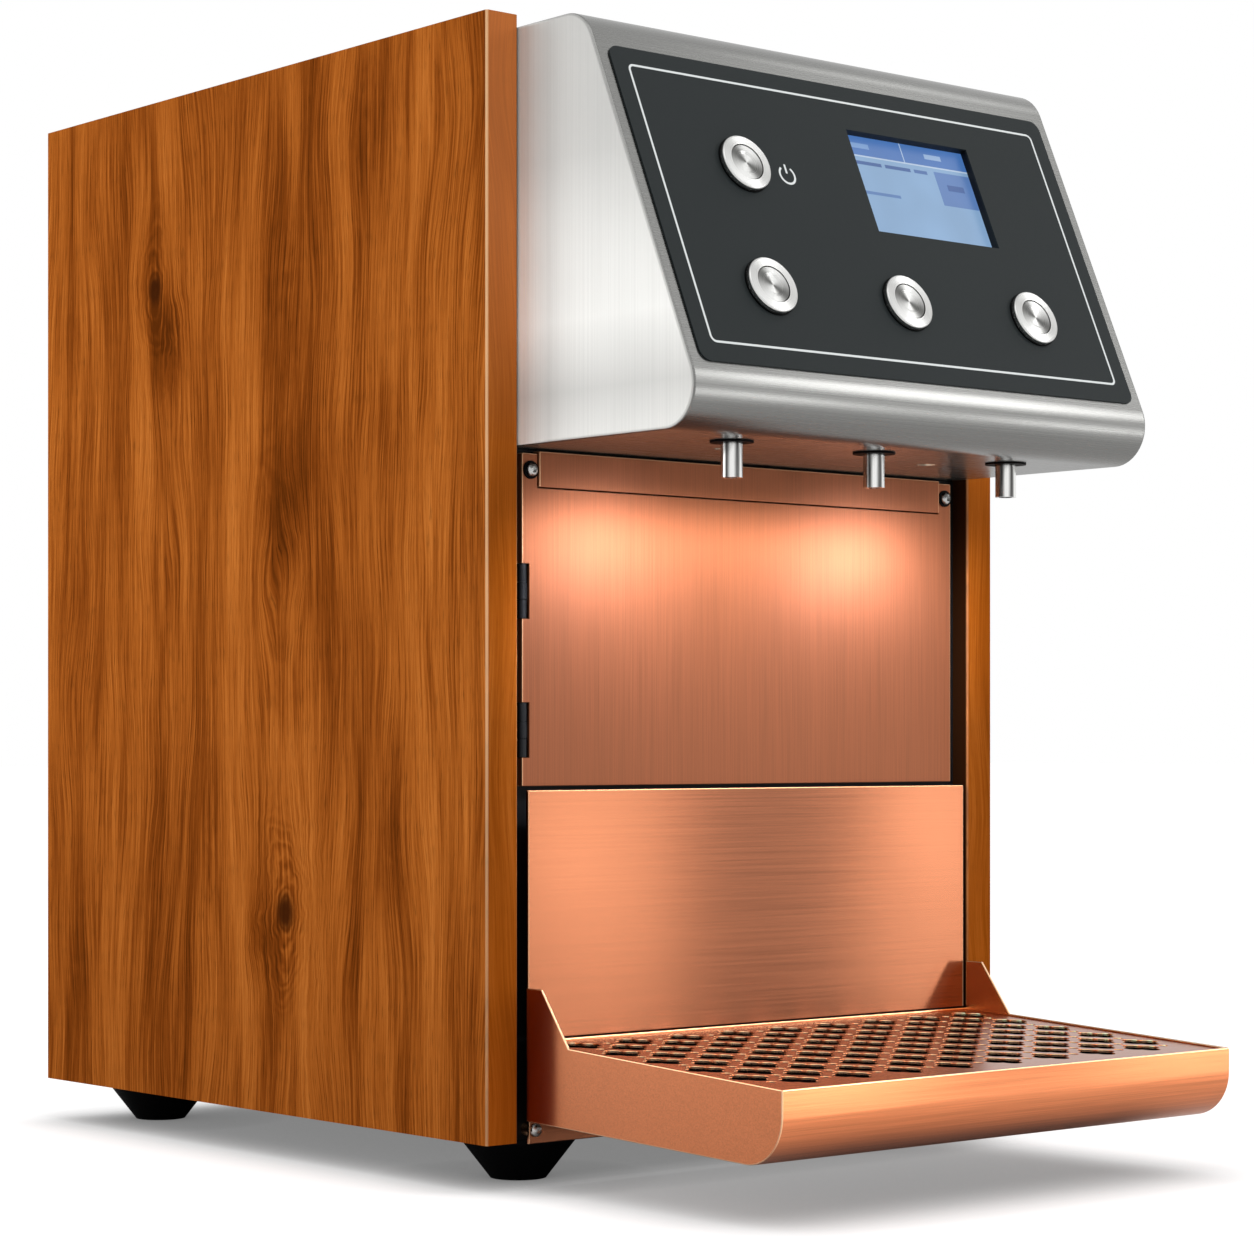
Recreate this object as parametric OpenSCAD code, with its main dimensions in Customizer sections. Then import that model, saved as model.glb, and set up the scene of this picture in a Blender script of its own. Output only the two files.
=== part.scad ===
// Countertop mulled wine dispenser: wooden side panels, a stainless control head with three nozzles,
// a copper cup bay with a hinged service door, and a lift-off drip tray.
// Built in millimetres, +X to the right seen from the front, +Y to the back, +Z up.
// The origin is on the table, in the middle of the footprint.

/* [Cabinet] */
// Overall width over the wooden side panels
body_w = 300; // [280:1:330]
// Depth of a side panel
panel_depth = 354; // [340:1:400]
// Height of a side panel
panel_h = 466; // [450:1:500]
// Thickness of a side panel
panel_t = 16.5; // [14:0.5:20]
// Radius of a side panel's upright edges
panel_edge_r = 1.5; // [0.5:0.25:4]
// Thickness of the folded steel sheets
sheet_t = 1.5; // [1:0.1:2]
// Gap between pieces that are slid together
fit_gap = 0.3; // [0.2:0.05:0.5]
// Gap round a screw in its hole
screw_gap = 0.2; // [0.1:0.05:0.4]
// Setback of the rear cover from the back edge of the side panels
rear_recess = 20; // [18:1:30]
// Height of the folded flanges
flange_h = 24; // [20:1:30]

/* [Feet] */
// Height of a rubber foot
foot_h = 20; // [15:1:30]
// Height of the straight rim of a foot
foot_rim_h = 3.2; // [2:0.2:5]
// Diameter of a foot at the base plate
foot_top_d = 50; // [40:1:54]
// Diameter of a foot at the table
foot_bottom_d = 24; // [20:1:30]
// Distance of a foot's centre from the outer side of the cabinet
foot_inset_x = 45; // [44:1:60]
// Distance of the front feet from the front of the side panels
foot_inset_front = 36; // [36:1:60]
// Distance of the rear feet from the back of the side panels
foot_inset_rear = 33; // [30:1:80]

/* [Control head] */
// Height of the head
head_h = 173.5; // [165:0.5:185]
// Step from the top of the side panels down to the top of the head
head_top_drop = 4.5; // [2:0.5:10]
// Reach of the top's front corner before rounding
head_top_reach = 42.1; // [36:0.1:50]
// Lean of the control face from upright
face_tilt = 23.6; // [20:0.1:26]
// Radius of the fold at the top
head_top_r = 18; // [10:1:22]
// Radius of the fold at the nose
head_nose_r = 17; // [12:1:22]
// Length of the head between the side panels
head_tail = 30; // [26:1:40]

/* [Control fascia] */
// Width of the printed fascia
fascia_w = 254; // [244:1:260]
// Length of the fascia down the slope
fascia_len = 144.3; // [140:0.1:150]
// Thickness of the fascia
fascia_t = 0.8; // [0.5:0.1:1.5]
// Corner radius of the fascia
fascia_r = 5; // [2:0.5:10]
// Distance down the slope from the folded top to the fascia
fascia_drop = 16.5; // [14:0.5:20]
// Width of the display window
display_w = 73.5; // [65:0.5:80]
// Height of the display window
display_h = 50; // [44:0.5:54]
// Sideways place of the display's centre
display_u = 34.9; // [30:0.1:45]
// Place of the display's centre down the fascia
display_v = 47; // [42:0.5:52]
// Depth of the display glass below the fascia
display_recess = 3.6; // [3:0.1:6]
// Distance between neighbouring portion buttons
button_pitch = 77.5; // [60:0.5:90]
// Place of the portion buttons down the fascia
button_row_v = 107; // [100:0.5:115]
// Sideways place of the power button
power_u = -70.7; // [-90:0.1:-55]
// Place of the power button down the fascia
power_v = 49; // [40:0.5:60]

/* [Push buttons] */
// Diameter of the bezel
bezel_d = 25; // [24:0.5:28]
// Height of the bezel
bezel_h = 2.2; // [1.5:0.1:3]
// Diameter of the threaded barrel
barrel_d = 22; // [21:0.5:23]
// Length of the barrel behind the face
barrel_len = 24; // [20:1:28]
// Diameter of the moving cap
cap_d = 16; // [14:0.5:17]
// Thickness of the moving cap
cap_t = 4; // [3:0.5:5]
// Gap round the cap
cap_gap = 0.35; // [0.3:0.05:0.6]
// Travel of a button
button_travel = 1.8; // [1:0.1:2.5]
// Thickness of the rubber seal under the bezel
seal_t = 0.6; // [0.4:0.1:1]
// Width of the lock nut across its flats
nut_af = 27; // [26:0.5:30]
// Thickness of the lock nut
nut_h = 4; // [3:0.5:6]

/* [Nozzles] */
// Outer diameter of a nozzle
nozzle_d = 9; // [8:0.5:11]
// Bore of a nozzle
nozzle_bore = 6; // [4:0.5:7]
// Distance between neighbouring nozzles
nozzle_pitch = 81; // [70:1:85]
// Reach of the nozzles in front of the side panels
nozzle_reach = 73.3; // [70:0.1:78]
// Length of a nozzle below the head
nozzle_drop = 15; // [10:0.5:15]
// Diameter of the grommet's lips
grommet_d = 18; // [17:0.5:22]
// Thickness of the lip below the head
grommet_lip = 0.8; // [0.5:0.1:1.5]
// Distance of a bay lamp from the middle
lamp_x = 60; // [50:1:64]
// Reach of the bay lamps in front of the side panels
lamp_reach = 45; // [35:1:50]
// Diameter of a lamp's lens
lamp_d = 8; // [6:0.5:10]

/* [Cup bay] */
// Setback of the black front frame
frame_setback = 9; // [8.5:0.1:12]
// Thickness of the front frame
frame_t = 2; // [1.5:0.1:3]
// Setback of the service door's face
door_setback = 5; // [4.6:0.1:5.2]
// Depth of the door's folded edges
door_depth = 3.6; // [3:0.1:3.6]
// Thickness of the copper sheets
copper_t = 1.2; // [0.8:0.1:1.5]
// Gap between the side panels and the service door
door_side_gap = 6; // [5:0.5:10]
// Gap round the door towards its fixed neighbours
door_gap = 0.5; // [0.4:0.1:1]
// Gap between the top of the door and the head
door_top_gap = 2; // [1.5:0.1:4]
// Width of the door's upper ears
door_ear_w = 8; // [7.5:0.5:12]
// Height of the header strip
strip_h = 15; // [14.5:0.5:16]
// Step of the header strip in front of the door
strip_proud = 1; // [0.5:0.1:1.5]
// Reach of the backsplash in front of the side panels
splash_proud = 1.5; // [1:0.1:2]
// Thickness of the backsplash sheet
splash_t = 1.5; // [1:0.1:1.5]
// Height of the backsplash's upper edge
splash_top_z = 145.7; // [135:0.1:155]
// Gap between the backsplash and the side panels
splash_side_gap = 4.1; // [3:0.1:8]
// Setback of the copper strip below the tray
base_strip_setback = 2.8; // [2:0.1:4]
// Gap between the base strip and the side panels
base_strip_side_gap = 8; // [5:0.5:12]
// Overhang of the base strip below the side panels
base_strip_drop = 1.4; // [0:0.1:3]

/* [Service door hinges] */
// Height of a hinge
hinge_h = 22.5; // [18:0.5:26]
// Height of the lower hinge's middle
hinge_low_z = 170.7; // [165:0.1:178]
// Height of the upper hinge's middle
hinge_high_z = 228.5; // [220:0.1:245]
// Diameter of a hinge knuckle
knuckle_d = 4.2; // [3.8:0.1:4.2]
// Room round a hinge's knuckles in the front frame
knuckle_room = 1; // [0.5:0.1:2]
// Diameter of a hinge pin
hinge_pin_d = 2; // [1.6:0.1:2.2]
// Running gap round a hinge pin
pin_gap = 0.05; // [0.02:0.01:0.1]
// Distance of the hinge axis from the door's edge
hinge_inset = 1; // [0.5:0.1:1.2]
// Length of a hinge leaf
leaf_len = 14; // [11:0.5:18]
// Thickness of a hinge leaf
leaf_t = 1; // [0.8:0.1:1.2]

/* [Drip tray] */
// Reach of the drip tray in front of the side panels
tray_reach = 157; // [148:1:175]
// Gap between the side panels and the tray
tray_side_gap = 2.3; // [1.5:0.1:5]
// Gap between the backsplash and the tray
tray_back_gap = 0.8; // [0.5:0.1:2]
// Thickness of the tray's sheet
tray_t = 1.2; // [1:0.1:1.5]
// Height of the tray's rim at the foot of its ears
rim_z = 41; // [38:0.5:46]
// Fall of the rim towards the front
rim_fall = 2.85; // [2:0.05:3.5]
// Height of the tray's underside at the back
floor_z = 9; // [7:0.5:12]
// Fall of the floor towards the front
floor_fall = 1.95; // [1:0.05:2.5]
// Radius of the tray's front fold
tray_nose_r = 20; // [12:1:24]
// Height of the tray's rear ears
ear_z = 64; // [56:1:72]
// Length of an ear's top
ear_top_len = 10; // [6:0.5:16]
// Length of an ear at the rim
ear_foot_len = 27.4; // [20:0.1:35]
// Width of a hook on the tray's back
hook_w = 60; // [40:1:80]
// Distance of the hooks from the middle
hook_x = 70; // [50:1:85]
// Height of the hanger's upper edge
hanger_z = 21.8; // [20:0.1:23]
// Length of the hook behind the hanger
hook_len = 9.8; // [8:0.1:10.5]

/* [Drip grille] */
// Thickness of the grille plate
grille_t = 1.2; // [1:0.1:1.5]
// Step from the rim down to the grille
grille_drop = 1; // [0.5:0.1:3]
// Gap between the grille and the tray's walls
grille_gap = 1; // [0.5:0.1:2]
// Distance between neighbouring clover holes in a row
hole_pitch = 28.75; // [27:0.25:30]
// Distance between rows of holes
row_pitch = 12.8; // [12.6:0.1:14]
// Distance of the first row from the front edge of the grille
row_margin = 21; // [18:0.5:26]
// Least plain margin beside the holes
side_margin = 3; // [2:0.5:18]
// Diameter of one petal of a clover hole
petal_d = 9; // [7:0.5:9]
// Distance of a petal from the middle of its clover
petal_reach = 4.8; // [4:0.1:4.8]
// Diameter of the small holes between the clovers
pip_d = 4.4; // [3:0.1:4.6]

/* [Pumps, heater and hoses] */
// Height of the pump shelf's underside
shelf_z = 150; // [120:1:152]
// Depth of the pump shelf
shelf_depth = 110; // [100:1:115]
// Distance between neighbouring pumps
pump_pitch = 75; // [70:1:80]
// Width of a pump head
pump_w = 44; // [40:1:46]
// Height of a pump head
pump_h = 46; // [42:1:48]
// Diameter of a pump motor
motor_d = 36; // [30:1:40]
// Length of a pump motor
motor_len = 48; // [40:1:52]
// Diameter of the flow heater
heater_d = 108; // [90:1:112]
// Height of the flow heater
heater_h = 200; // [170:1:210]
// Distance of the heater's middle behind the front of the side panels
heater_y = 236; // [232:1:250]
// Outer diameter of a hose
hose_d = 12; // [11:0.5:13]
// Bore of a hose
hose_bore = 8.6; // [8.4:0.1:9]
// Outer diameter of a hose stub
stub_d = 8; // [7:0.1:8]
// Bore of a hose stub
stub_bore = 5; // [4:0.5:6]
// Length of a hose stub
stub_len = 14; // [12:1:16]
// Bend radius of the hoses
hose_bend = 16; // [14:1:20]

/* [Rear connections] */
// Distance of the first wine inlet from the left side panel
inlet_inset = 15.5; // [14:0.5:20]
// Distance between neighbouring wine inlets
inlet_pitch = 24; // [22:1:25]
// Height of the wine inlets
inlet_z = 60; // [50:1:80]
// Outer diameter of an inlet's hose tail
tail_d = 10; // [8:0.5:12]
// Length of an inlet's hose tail
tail_len = 16; // [12:1:17]
// Distance of the mains inlet from the right side panel
mains_inset = 41.5; // [36:0.5:46]
// Height of the mains inlet
mains_z = 150; // [120:1:200]

/* [Hidden] */
$fn = 96;
// Depth to which joined forms run into each other
lap = 0.5;
// Open joint between neighbouring pieces
seam = 0.5;
// Overrun of a cut past the face that it opens
cut = 1;

// Frame of the cabinet: from the table to the front edge of the side panels' underside
front_y = (tray_reach - panel_depth) / 2;
inner_half = body_w / 2 - panel_t;
sheet_half = inner_half - fit_gap;
sheet_in = sheet_half - sheet_t;
rear_y = panel_depth - rear_recess - sheet_t;
frame_back = frame_setback + frame_t;
frame_flange = 28;

// Head and fascia
head_top_z = panel_h - head_top_drop;
head_floor_z = head_top_z - head_h;
head_floor_in = head_floor_z + sheet_t;
face_run = head_h * tan(face_tilt);
head_points = [
    [head_tail, head_top_z],
    [-head_top_reach, head_top_z],
    [-head_top_reach - face_run, head_floor_z],
    [head_tail, head_floor_z]
];
fascia_y = -head_top_reach - fascia_drop * sin(face_tilt);
fascia_z = head_top_z - fascia_drop * cos(face_tilt);
display_lip = 1;
display_frame = 9;
display_seat = fascia_t - display_recess;
lcd_frame = 5;
lcd_depth = 5;
switch_places = [
    [power_u, power_v],
    [-button_pitch, button_row_v],
    [0, button_row_v],
    [button_pitch, button_row_v]
];
bezel_z = fascia_t + seal_t;
cap_z = bezel_z + bezel_h - fit_gap;
cap_room = cap_t + button_travel + 2 * fit_gap;
stem_d = 6;
stem_len = 8;
terminal_d = 18;
terminal_len = 6;

// Nozzles
nozzle_tip_z = head_floor_z - nozzle_drop;
nozzle_block_d = 14;
nozzle_block_z = head_floor_in + grommet_lip + 0.7;
nozzle_block_h = 18;
nozzle_port_z = nozzle_block_z + nozzle_block_h - stub_d;
grommet_neck_d = nozzle_d + 5;
lamp_flange = 2;
lamp_h = 5;

// Cup bay
door_half = inner_half - door_side_gap;
door_top_z = head_floor_z - door_top_gap;
door_low_z = splash_top_z + 3 * door_gap;
strip_half = door_half - door_ear_w - door_gap;
strip_top_z = head_floor_z - door_top_gap / 2;
strip_low_z = strip_top_z - strip_h;
strip_face = door_setback - strip_proud;
screw_d = 4;
screw_head_d = 7;
screw_head_h = 2;
door_screw_head_d = 5.5;
washer_d = 7.6;
washer_t = 0.8;
door_screw_x = door_half - washer_d / 2 - seam;
door_screw_z = (strip_low_z + door_top_z) / 2;
bay_half = door_half - leaf_len - 2 * seam;
bay_margin = 10;
bay_low_z = door_low_z + bay_margin;
bay_high_z = strip_low_z - bay_margin;
hinge_x = hinge_inset - door_half;
hinge_y = door_setback + door_depth / 2;
hinge_heights = [hinge_low_z, hinge_high_z];
knuckle_h = hinge_h / 3;
notch_w = hinge_inset + knuckle_d / 2 + fit_gap + seam;
splash_half = inner_half - splash_side_gap;
stud_d = 8;
stud_inset = 25;
base_strip_half = inner_half - base_strip_side_gap;
base_strip_screw_z = 4.3;
base_strip_screw_x = base_strip_half - door_screw_head_d / 2 - seam;

// Drip tray, as an outline seen from the right: Y to the back and Z up
tray_half = inner_half - tray_side_gap;
tray_back = -splash_proud - tray_back_gap;
ear_foot_y = tray_back - ear_foot_len;
function rim_at(y) = rim_z + (y - ear_foot_y) * tan(rim_fall);
function floor_at(y) = floor_z + (y - tray_back) * tan(floor_fall);
rim_back_z = rim_at(tray_back);
splash_low_z = rim_back_z + fit_gap;
base_strip_top_z = splash_low_z - 2 * seam;
tray_points = [
    [tray_back, rim_back_z],
    [-tray_reach, rim_at(-tray_reach)],
    [-tray_reach, floor_at(-tray_reach)],
    [tray_back, floor_at(tray_back)]
];
hanger_t = 1.5;
hanger_foot = 3;
hanger_low_z = hanger_z - hook_len - hanger_foot;
hanger_face = tray_back + fit_gap;
hanger_back = hanger_face + hanger_t;

// Drip grille
grille_half = tray_half - tray_t - grille_gap;
grille_front = -tray_reach + tray_t + grille_gap;
grille_back = tray_back - tray_t - grille_gap;
hole_edge = petal_reach + petal_d / 2;
back_margin = 2;
row_count = floor((grille_back - grille_front - row_margin - hole_edge - back_margin) / row_pitch) + 1;
column_reach = floor((grille_half - hole_edge - side_margin) / (hole_pitch / 2));
leg_front = grille_front + tray_nose_r;
leg_margin = 4;
leg_back = grille_back - leg_margin;

// Pumps, heater, hoses and rear connections
shelf_t = 2;
shelf_gap = 9;
shelf_y = frame_back + shelf_gap;
shelf_side_gap = 6;
shelf_half = sheet_in - shelf_side_gap;
post_d = 10;
post_inset = 12;
post_clear = 2;
pump_z = shelf_z + shelf_t;
pump_top_z = pump_z + pump_h;
pump_inset = 26;
pump_y = shelf_y + pump_inset;
pump_depth = 30;
port_x = pump_w / 4;
heater_top_z = sheet_t + heater_h;
heater_port_x = heater_d * 0.28;
heater_port_y = heater_d * 0.2;
riser_y = (shelf_y + shelf_depth + heater_y - heater_d / 2) / 2;
supply_rise = 6;
supply_z = pump_top_z + stub_len + hose_bend + supply_rise;
feed_gap = 3;
feed_z = supply_z + 2 * hose_d + feed_gap;
inlet_x = inlet_inset + inlet_pitch - inner_half;
inlet_nut_h = 5;
bend_steps = 5;
hose_sides = 12;
inlet_flange_d = 18;
inlet_flange_t = 3;
inlet_thread_d = 12;
mains_x = inner_half - mains_inset;
mains_w = 27;
mains_h = 20;
mains_flange_w = 50;
mains_flange_h = 26;
mains_flange_t = 2.5;
mains_flange_r = 4;
mains_depth = 24;
mains_floor = 6;
mains_wall = 1.7;
mains_pin_x = 7;
mains_pin_z = 2;
mains_pin_t = 2;
mains_pin_w = 4;
mains_pin_len = 15;
supply_w = 52;
supply_len = 140;
supply_h = 88;
supply_gap = 4;
slot_w = 4;
slot_depth = 3;
slot_margin = 16;
vent_rows = 8;
vent_h = 5;
vent_pitch = 14;
vent_rise = 20;
vent_low_z = head_floor_z + vent_rise;
board_gap = 8;
board_t = 1.6;
board_w = 130;
board_h = 100;
board_y = 70;
board_rise = 45;
board_z = head_floor_z + board_rise;
spacer_d = 6;
relay_y = 20;
relay_z = 14;
relay_pitch = 24;
relay_h = 15.5;
relay_w = 16;
relay_len = 26;
converter_z = 56;
converter_h = 24.5;
converter_w = 42;
converter_len = 32;
terminal_y = 96;
terminal_z = 24;
terminal_h = 8.5;
terminal_w = 12;
terminal_row = 60;

// Screw places
panel_screw_len = 12;
flange_row = 9;
flange_row_z = flange_h - flange_row;
top_row_z = head_top_z - flange_h + flange_row;
cover_screw_inset = 20;
cover_screw_len = 2 * sheet_t + 4;
panel_screw_places = [
    for (y = [0.2, 0.5, 0.8]) [frame_back + y * (rear_y - frame_back), flange_row_z],
    for (z = [0.3, 0.7]) [frame_back + frame_flange / 2, z * head_floor_z],
    for (z = [0.2, 0.8]) [head_tail / 2, head_floor_z + z * head_h],
    for (y = [0.3, 0.8]) [head_tail + y * (rear_y - head_tail), top_row_z]
];
cover_screw_places = [
    for (x = [-1, 0, 1], z = [flange_row_z, top_row_z]) [x * (sheet_in - cover_screw_inset), z]
];
foot_screw_d = 5;
foot_recess_d = 12;
foot_recess_h = 12;
foot_boss_h = 5;
base_lip_gap = 2;

// Vector helpers for outlines and hose bends
function unit(v) = v / norm(v);
function left_of(v) = [-v[1], v[0]];
function before(p, i) = p[(i + len(p) - 1) % len(p)];
function after(p, i) = p[(i + 1) % len(p)];
function inward(p, i, t) =
    let (a = left_of(unit(p[i] - before(p, i))), b = left_of(unit(after(p, i) - p[i])))
    p[i] + t * (a + b) / (1 + a * b);
function inset(p, t) = [for (i = [0:len(p) - 1]) inward(p, i, t)];
// Tangent point, arc centre and tangent point of a rounded corner
function corner(p, i, r) =
    let (
        a = unit(before(p, i) - p[i]),
        b = unit(after(p, i) - p[i]),
        half = acos(a * b) / 2
    )
    [p[i] + a * r / tan(half), p[i] + unit(a + b) * r / sin(half), p[i] + b * r / tan(half)];

// Moves a piece from the cabinet's frame to its place on the table
module in_cabinet() translate([0, front_y, foot_h]) children();

// Flat outline with some of its corners rounded
module rounded_outline(points, radii) {
    polygon([
        for (i = [0:len(points) - 1]) each radii[i] > 0 ? corner(points, i, radii[i]) : [points[i]]
    ]);
    for (i = [0:len(points) - 1])
        if (radii[i] > 0) {
            arc = corner(points, i, radii[i]);
            intersection() {
                polygon([arc[0], points[i], arc[2], arc[1]]);
                translate(arc[1]) circle(radii[i]);
            }
        }
}

// Rectangle round the origin with round corners
module rounded_rectangle(w, h, r) {
    rounded_outline([[w, h] / 2, [-w, h] / 2, [-w, -h] / 2, [w, -h] / 2], [r, r, r, r]);
}

// Extrudes an outline of Y and Z across the cabinet, evenly to both sides
module across(width) {
    rotate([90, 0, 90]) translate([0, 0, -width / 2]) linear_extrude(width) children();
}

// Box from one corner to another
module span(a, b) translate(a) cube(b - a);

// Turns an upright piece so that it points forward, to the back or to one side
module to_back() rotate([-90, 0, 0]) children();
module to_front() rotate([90, 0, 0]) children();
module to_side(side) rotate([0, side * 90, 0]) children();

// Places a piece on the steel control face: X right, Y up the slope, Z outward
module on_face(u, v) {
    translate([0, fascia_y, fascia_z]) rotate([90 - face_tilt, 0, 0]) translate([u, -v, 0]) children();
}

// Copies a piece to the left and to the right
module both_sides() for (side = [-1, 1]) mirror([side < 0 ? 1 : 0, 0, 0]) children();

// Button-head screw, head on top, with a hexagon socket
module socket_screw(head_d, head_h, length) {
    difference() {
        union() {
            cylinder(h = head_h, d = head_d);
            translate([0, 0, -length]) cylinder(h = length + lap, d = screw_d);
        }
        translate([0, 0, head_h / 2]) cylinder(h = head_h, d = head_d * 0.45, $fn = 6);
    }
}

// Wooden sides
module side_panel(side) {
    inner = side * inner_half;
    color("saddlebrown") in_cabinet() difference() {
        translate([side * (body_w - panel_t) / 2, panel_depth / 2, 0]) linear_extrude(panel_h)
            rounded_rectangle(panel_t, panel_depth, panel_edge_r);
        for (place = panel_screw_places)
            translate([inner - side * cut, place[0], place[1]]) to_side(side)
                cylinder(h = panel_screw_len + sheet_t, d = screw_d + 2 * screw_gap);
    }
}

module panel_screw_holes() {
    for (side = [-1, 1], place = panel_screw_places)
        translate([side * (sheet_in - cut), place[0], place[1]]) to_side(side)
            cylinder(h = sheet_t + 2 * cut, d = screw_d + 2 * screw_gap);
}

module panel_screws() {
    color("dimgray") in_cabinet()
        for (side = [-1, 1], place = panel_screw_places)
            translate([side * sheet_in, place[0], place[1]]) to_side(-side)
                socket_screw(screw_head_d, screw_head_h, panel_screw_len);
}

// Folded steel sheets of the cabinet
module base_plate() {
    color("darkgray") in_cabinet() difference() {
        union() {
            difference() {
                span([-sheet_half, frame_back, 0], [sheet_half, rear_y, flange_h]);
                span(
                    [-sheet_in, frame_back + sheet_t, sheet_t],
                    [sheet_in, rear_y - sheet_t, flange_h + cut]
                );
            }
            span([-sheet_half, frame_back, 0], [sheet_half, panel_depth - base_lip_gap, sheet_t]);
            for (place = foot_places())
                translate([place[0], place[1], lap]) cylinder(h = foot_boss_h, d = foot_recess_d);
        }
        for (place = foot_places())
            translate([place[0], place[1], -cut])
                cylinder(h = foot_boss_h + 3 * cut, d = foot_screw_d + 2 * screw_gap);
        panel_screw_holes();
        cover_screw_holes();
        base_strip_screw_holes();
    }
}

module cover_screw_holes() {
    for (place = cover_screw_places)
        translate([place[0], rear_y - sheet_t - cut, place[1]]) to_back()
            cylinder(h = 2 * sheet_t + 2 * cut, d = screw_d + 2 * screw_gap);
}

module cover_screws() {
    color("silver") in_cabinet()
        for (place = cover_screw_places)
            translate([place[0], rear_y + sheet_t, place[1]]) to_back()
                socket_screw(screw_head_d, screw_head_h, cover_screw_len);
}

module top_cover() {
    back = rear_y + sheet_t;
    low = head_top_z - flange_h;
    color("silver") in_cabinet() difference() {
        span([-sheet_half, head_tail + seam, low], [sheet_half, back, head_top_z]);
        span([-sheet_in, head_tail, low - cut], [sheet_in, rear_y - sheet_t, head_top_z - sheet_t]);
        span([-sheet_half - cut, rear_y, low - cut], [sheet_half + cut, back + cut, head_top_z - sheet_t]);
        panel_screw_holes();
        cover_screw_holes();
    }
}

module vent_slot(length, height) {
    to_back() linear_extrude(3 * sheet_t) {
        square([length - height, height], center = true);
        for (end = [-1, 1]) translate([end * (length - height) / 2, 0]) circle(d = height);
    }
}

module rear_cover() {
    vent_len = sheet_in * 0.7;
    color("darkgray") in_cabinet() difference() {
        span([-sheet_half, rear_y, sheet_t], [sheet_half, rear_y + sheet_t, head_top_z - sheet_t - fit_gap]);
        both_sides() for (row = [0:vent_rows - 1])
            translate([sheet_in / 2, rear_y - sheet_t, vent_low_z + row * vent_pitch])
                vent_slot(vent_len, vent_h);
        for (i = [-1:1])
            translate([inlet_x + i * inlet_pitch, rear_y - cut, inlet_z]) to_back()
                cylinder(h = sheet_t + 2 * cut, d = inlet_thread_d + 2 * screw_gap);
        translate([mains_x, rear_y + sheet_t / 2, mains_z])
            cube([mains_w + 2 * fit_gap, 3 * sheet_t, mains_h + 2 * fit_gap], center = true);
        cover_screw_holes();
    }
}

module front_frame() {
    color("black") in_cabinet() difference() {
        union() {
            span([-sheet_half, frame_setback, 0], [sheet_half, frame_back, head_floor_z - fit_gap]);
            both_sides()
                span(
                    [sheet_in, frame_back - lap, flange_h + fit_gap],
                    [sheet_half, frame_back + frame_flange, head_floor_z - fit_gap]
                );
            span(
                [-sheet_half, frame_back - lap, head_floor_z - fit_gap - sheet_t],
                [sheet_half, frame_back + frame_flange, head_floor_z - fit_gap]
            );
        }
        span([-bay_half, frame_setback - cut, bay_low_z], [bay_half, frame_back + cut, bay_high_z]);
        for (z = hinge_heights)
            translate([hinge_x, frame_setback + frame_t / 2, z])
                cube([knuckle_d + knuckle_room, 2 * frame_t, hinge_h + knuckle_room], center = true);
        both_sides()
            translate([door_screw_x, frame_setback - cut, door_screw_z]) to_back()
                cylinder(h = frame_t + 2 * cut, d = screw_d + 2 * screw_gap);
        panel_screw_holes();
        base_strip_screw_holes();
    }
}

// Stainless control head, one folded and welded sheet that is open at the back
module head_shell() {
    hollow = inset(head_points, sheet_t);
    open_back = [
        for (i = [0:3]) [i == 0 || i == 3 ? head_tail + 1 : hollow[i][0], hollow[i][1]]
    ];
    color("gainsboro") in_cabinet() difference() {
        across(2 * sheet_half) rounded_outline(head_points, [0, head_top_r, head_nose_r, 0]);
        across(2 * sheet_in)
            rounded_outline(open_back, [0, head_top_r - sheet_t, head_nose_r - sheet_t, 0]);
        for (place = switch_places)
            on_face(place[0], place[1])
                translate([0, 0, -2 * sheet_t]) cylinder(h = 3 * sheet_t, d = barrel_d + 2 * screw_gap);
        on_face(display_u, display_v)
            linear_extrude(4 * sheet_t, center = true)
                square([display_w, display_h] + [2, 2] * (display_lip + fit_gap), center = true);
        for (i = [-1:1])
            translate([i * nozzle_pitch, -nozzle_reach, head_floor_z - cut])
                cylinder(h = sheet_t + 2 * cut, d = grommet_neck_d + 2 * screw_gap);
        both_sides()
            translate([lamp_x, -lamp_reach, head_floor_z - cut])
                cylinder(h = sheet_t + 2 * cut, d = lamp_d + 2 * fit_gap);
        panel_screw_holes();
    }
}

// Printed fascia and display
module control_fascia() {
    color("darkslategray") in_cabinet() difference() {
        on_face(0, fascia_len / 2) linear_extrude(fascia_t)
            rounded_rectangle(fascia_w, fascia_len, fascia_r);
        for (place = switch_places)
            on_face(place[0], place[1])
                translate([0, 0, -cut]) cylinder(h = fascia_t + 2 * cut, d = barrel_d + 2 * screw_gap);
        on_face(display_u, display_v) cube([display_w, display_h, 4 * fascia_t], center = true);
    }
}

module display_bezel() {
    window = [display_w, display_h];
    color("black") in_cabinet() on_face(display_u, display_v) difference() {
        union() {
            translate([0, 0, display_seat]) linear_extrude(-display_seat - sheet_t)
                square(window + [2, 2] * display_frame, center = true);
            translate([0, 0, -sheet_t - lap / 2]) linear_extrude(sheet_t + lap / 2)
                square(window + [2, 2] * display_lip, center = true);
        }
        cube([window[0], window[1], 6 * sheet_t], center = true);
    }
}

module display_panel() {
    color("steelblue") in_cabinet() on_face(display_u, display_v)
        translate([0, 0, display_seat - lcd_depth])
            linear_extrude(lcd_depth)
                square([display_w, display_h] + [2, 2] * lcd_frame, center = true);
}

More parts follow.
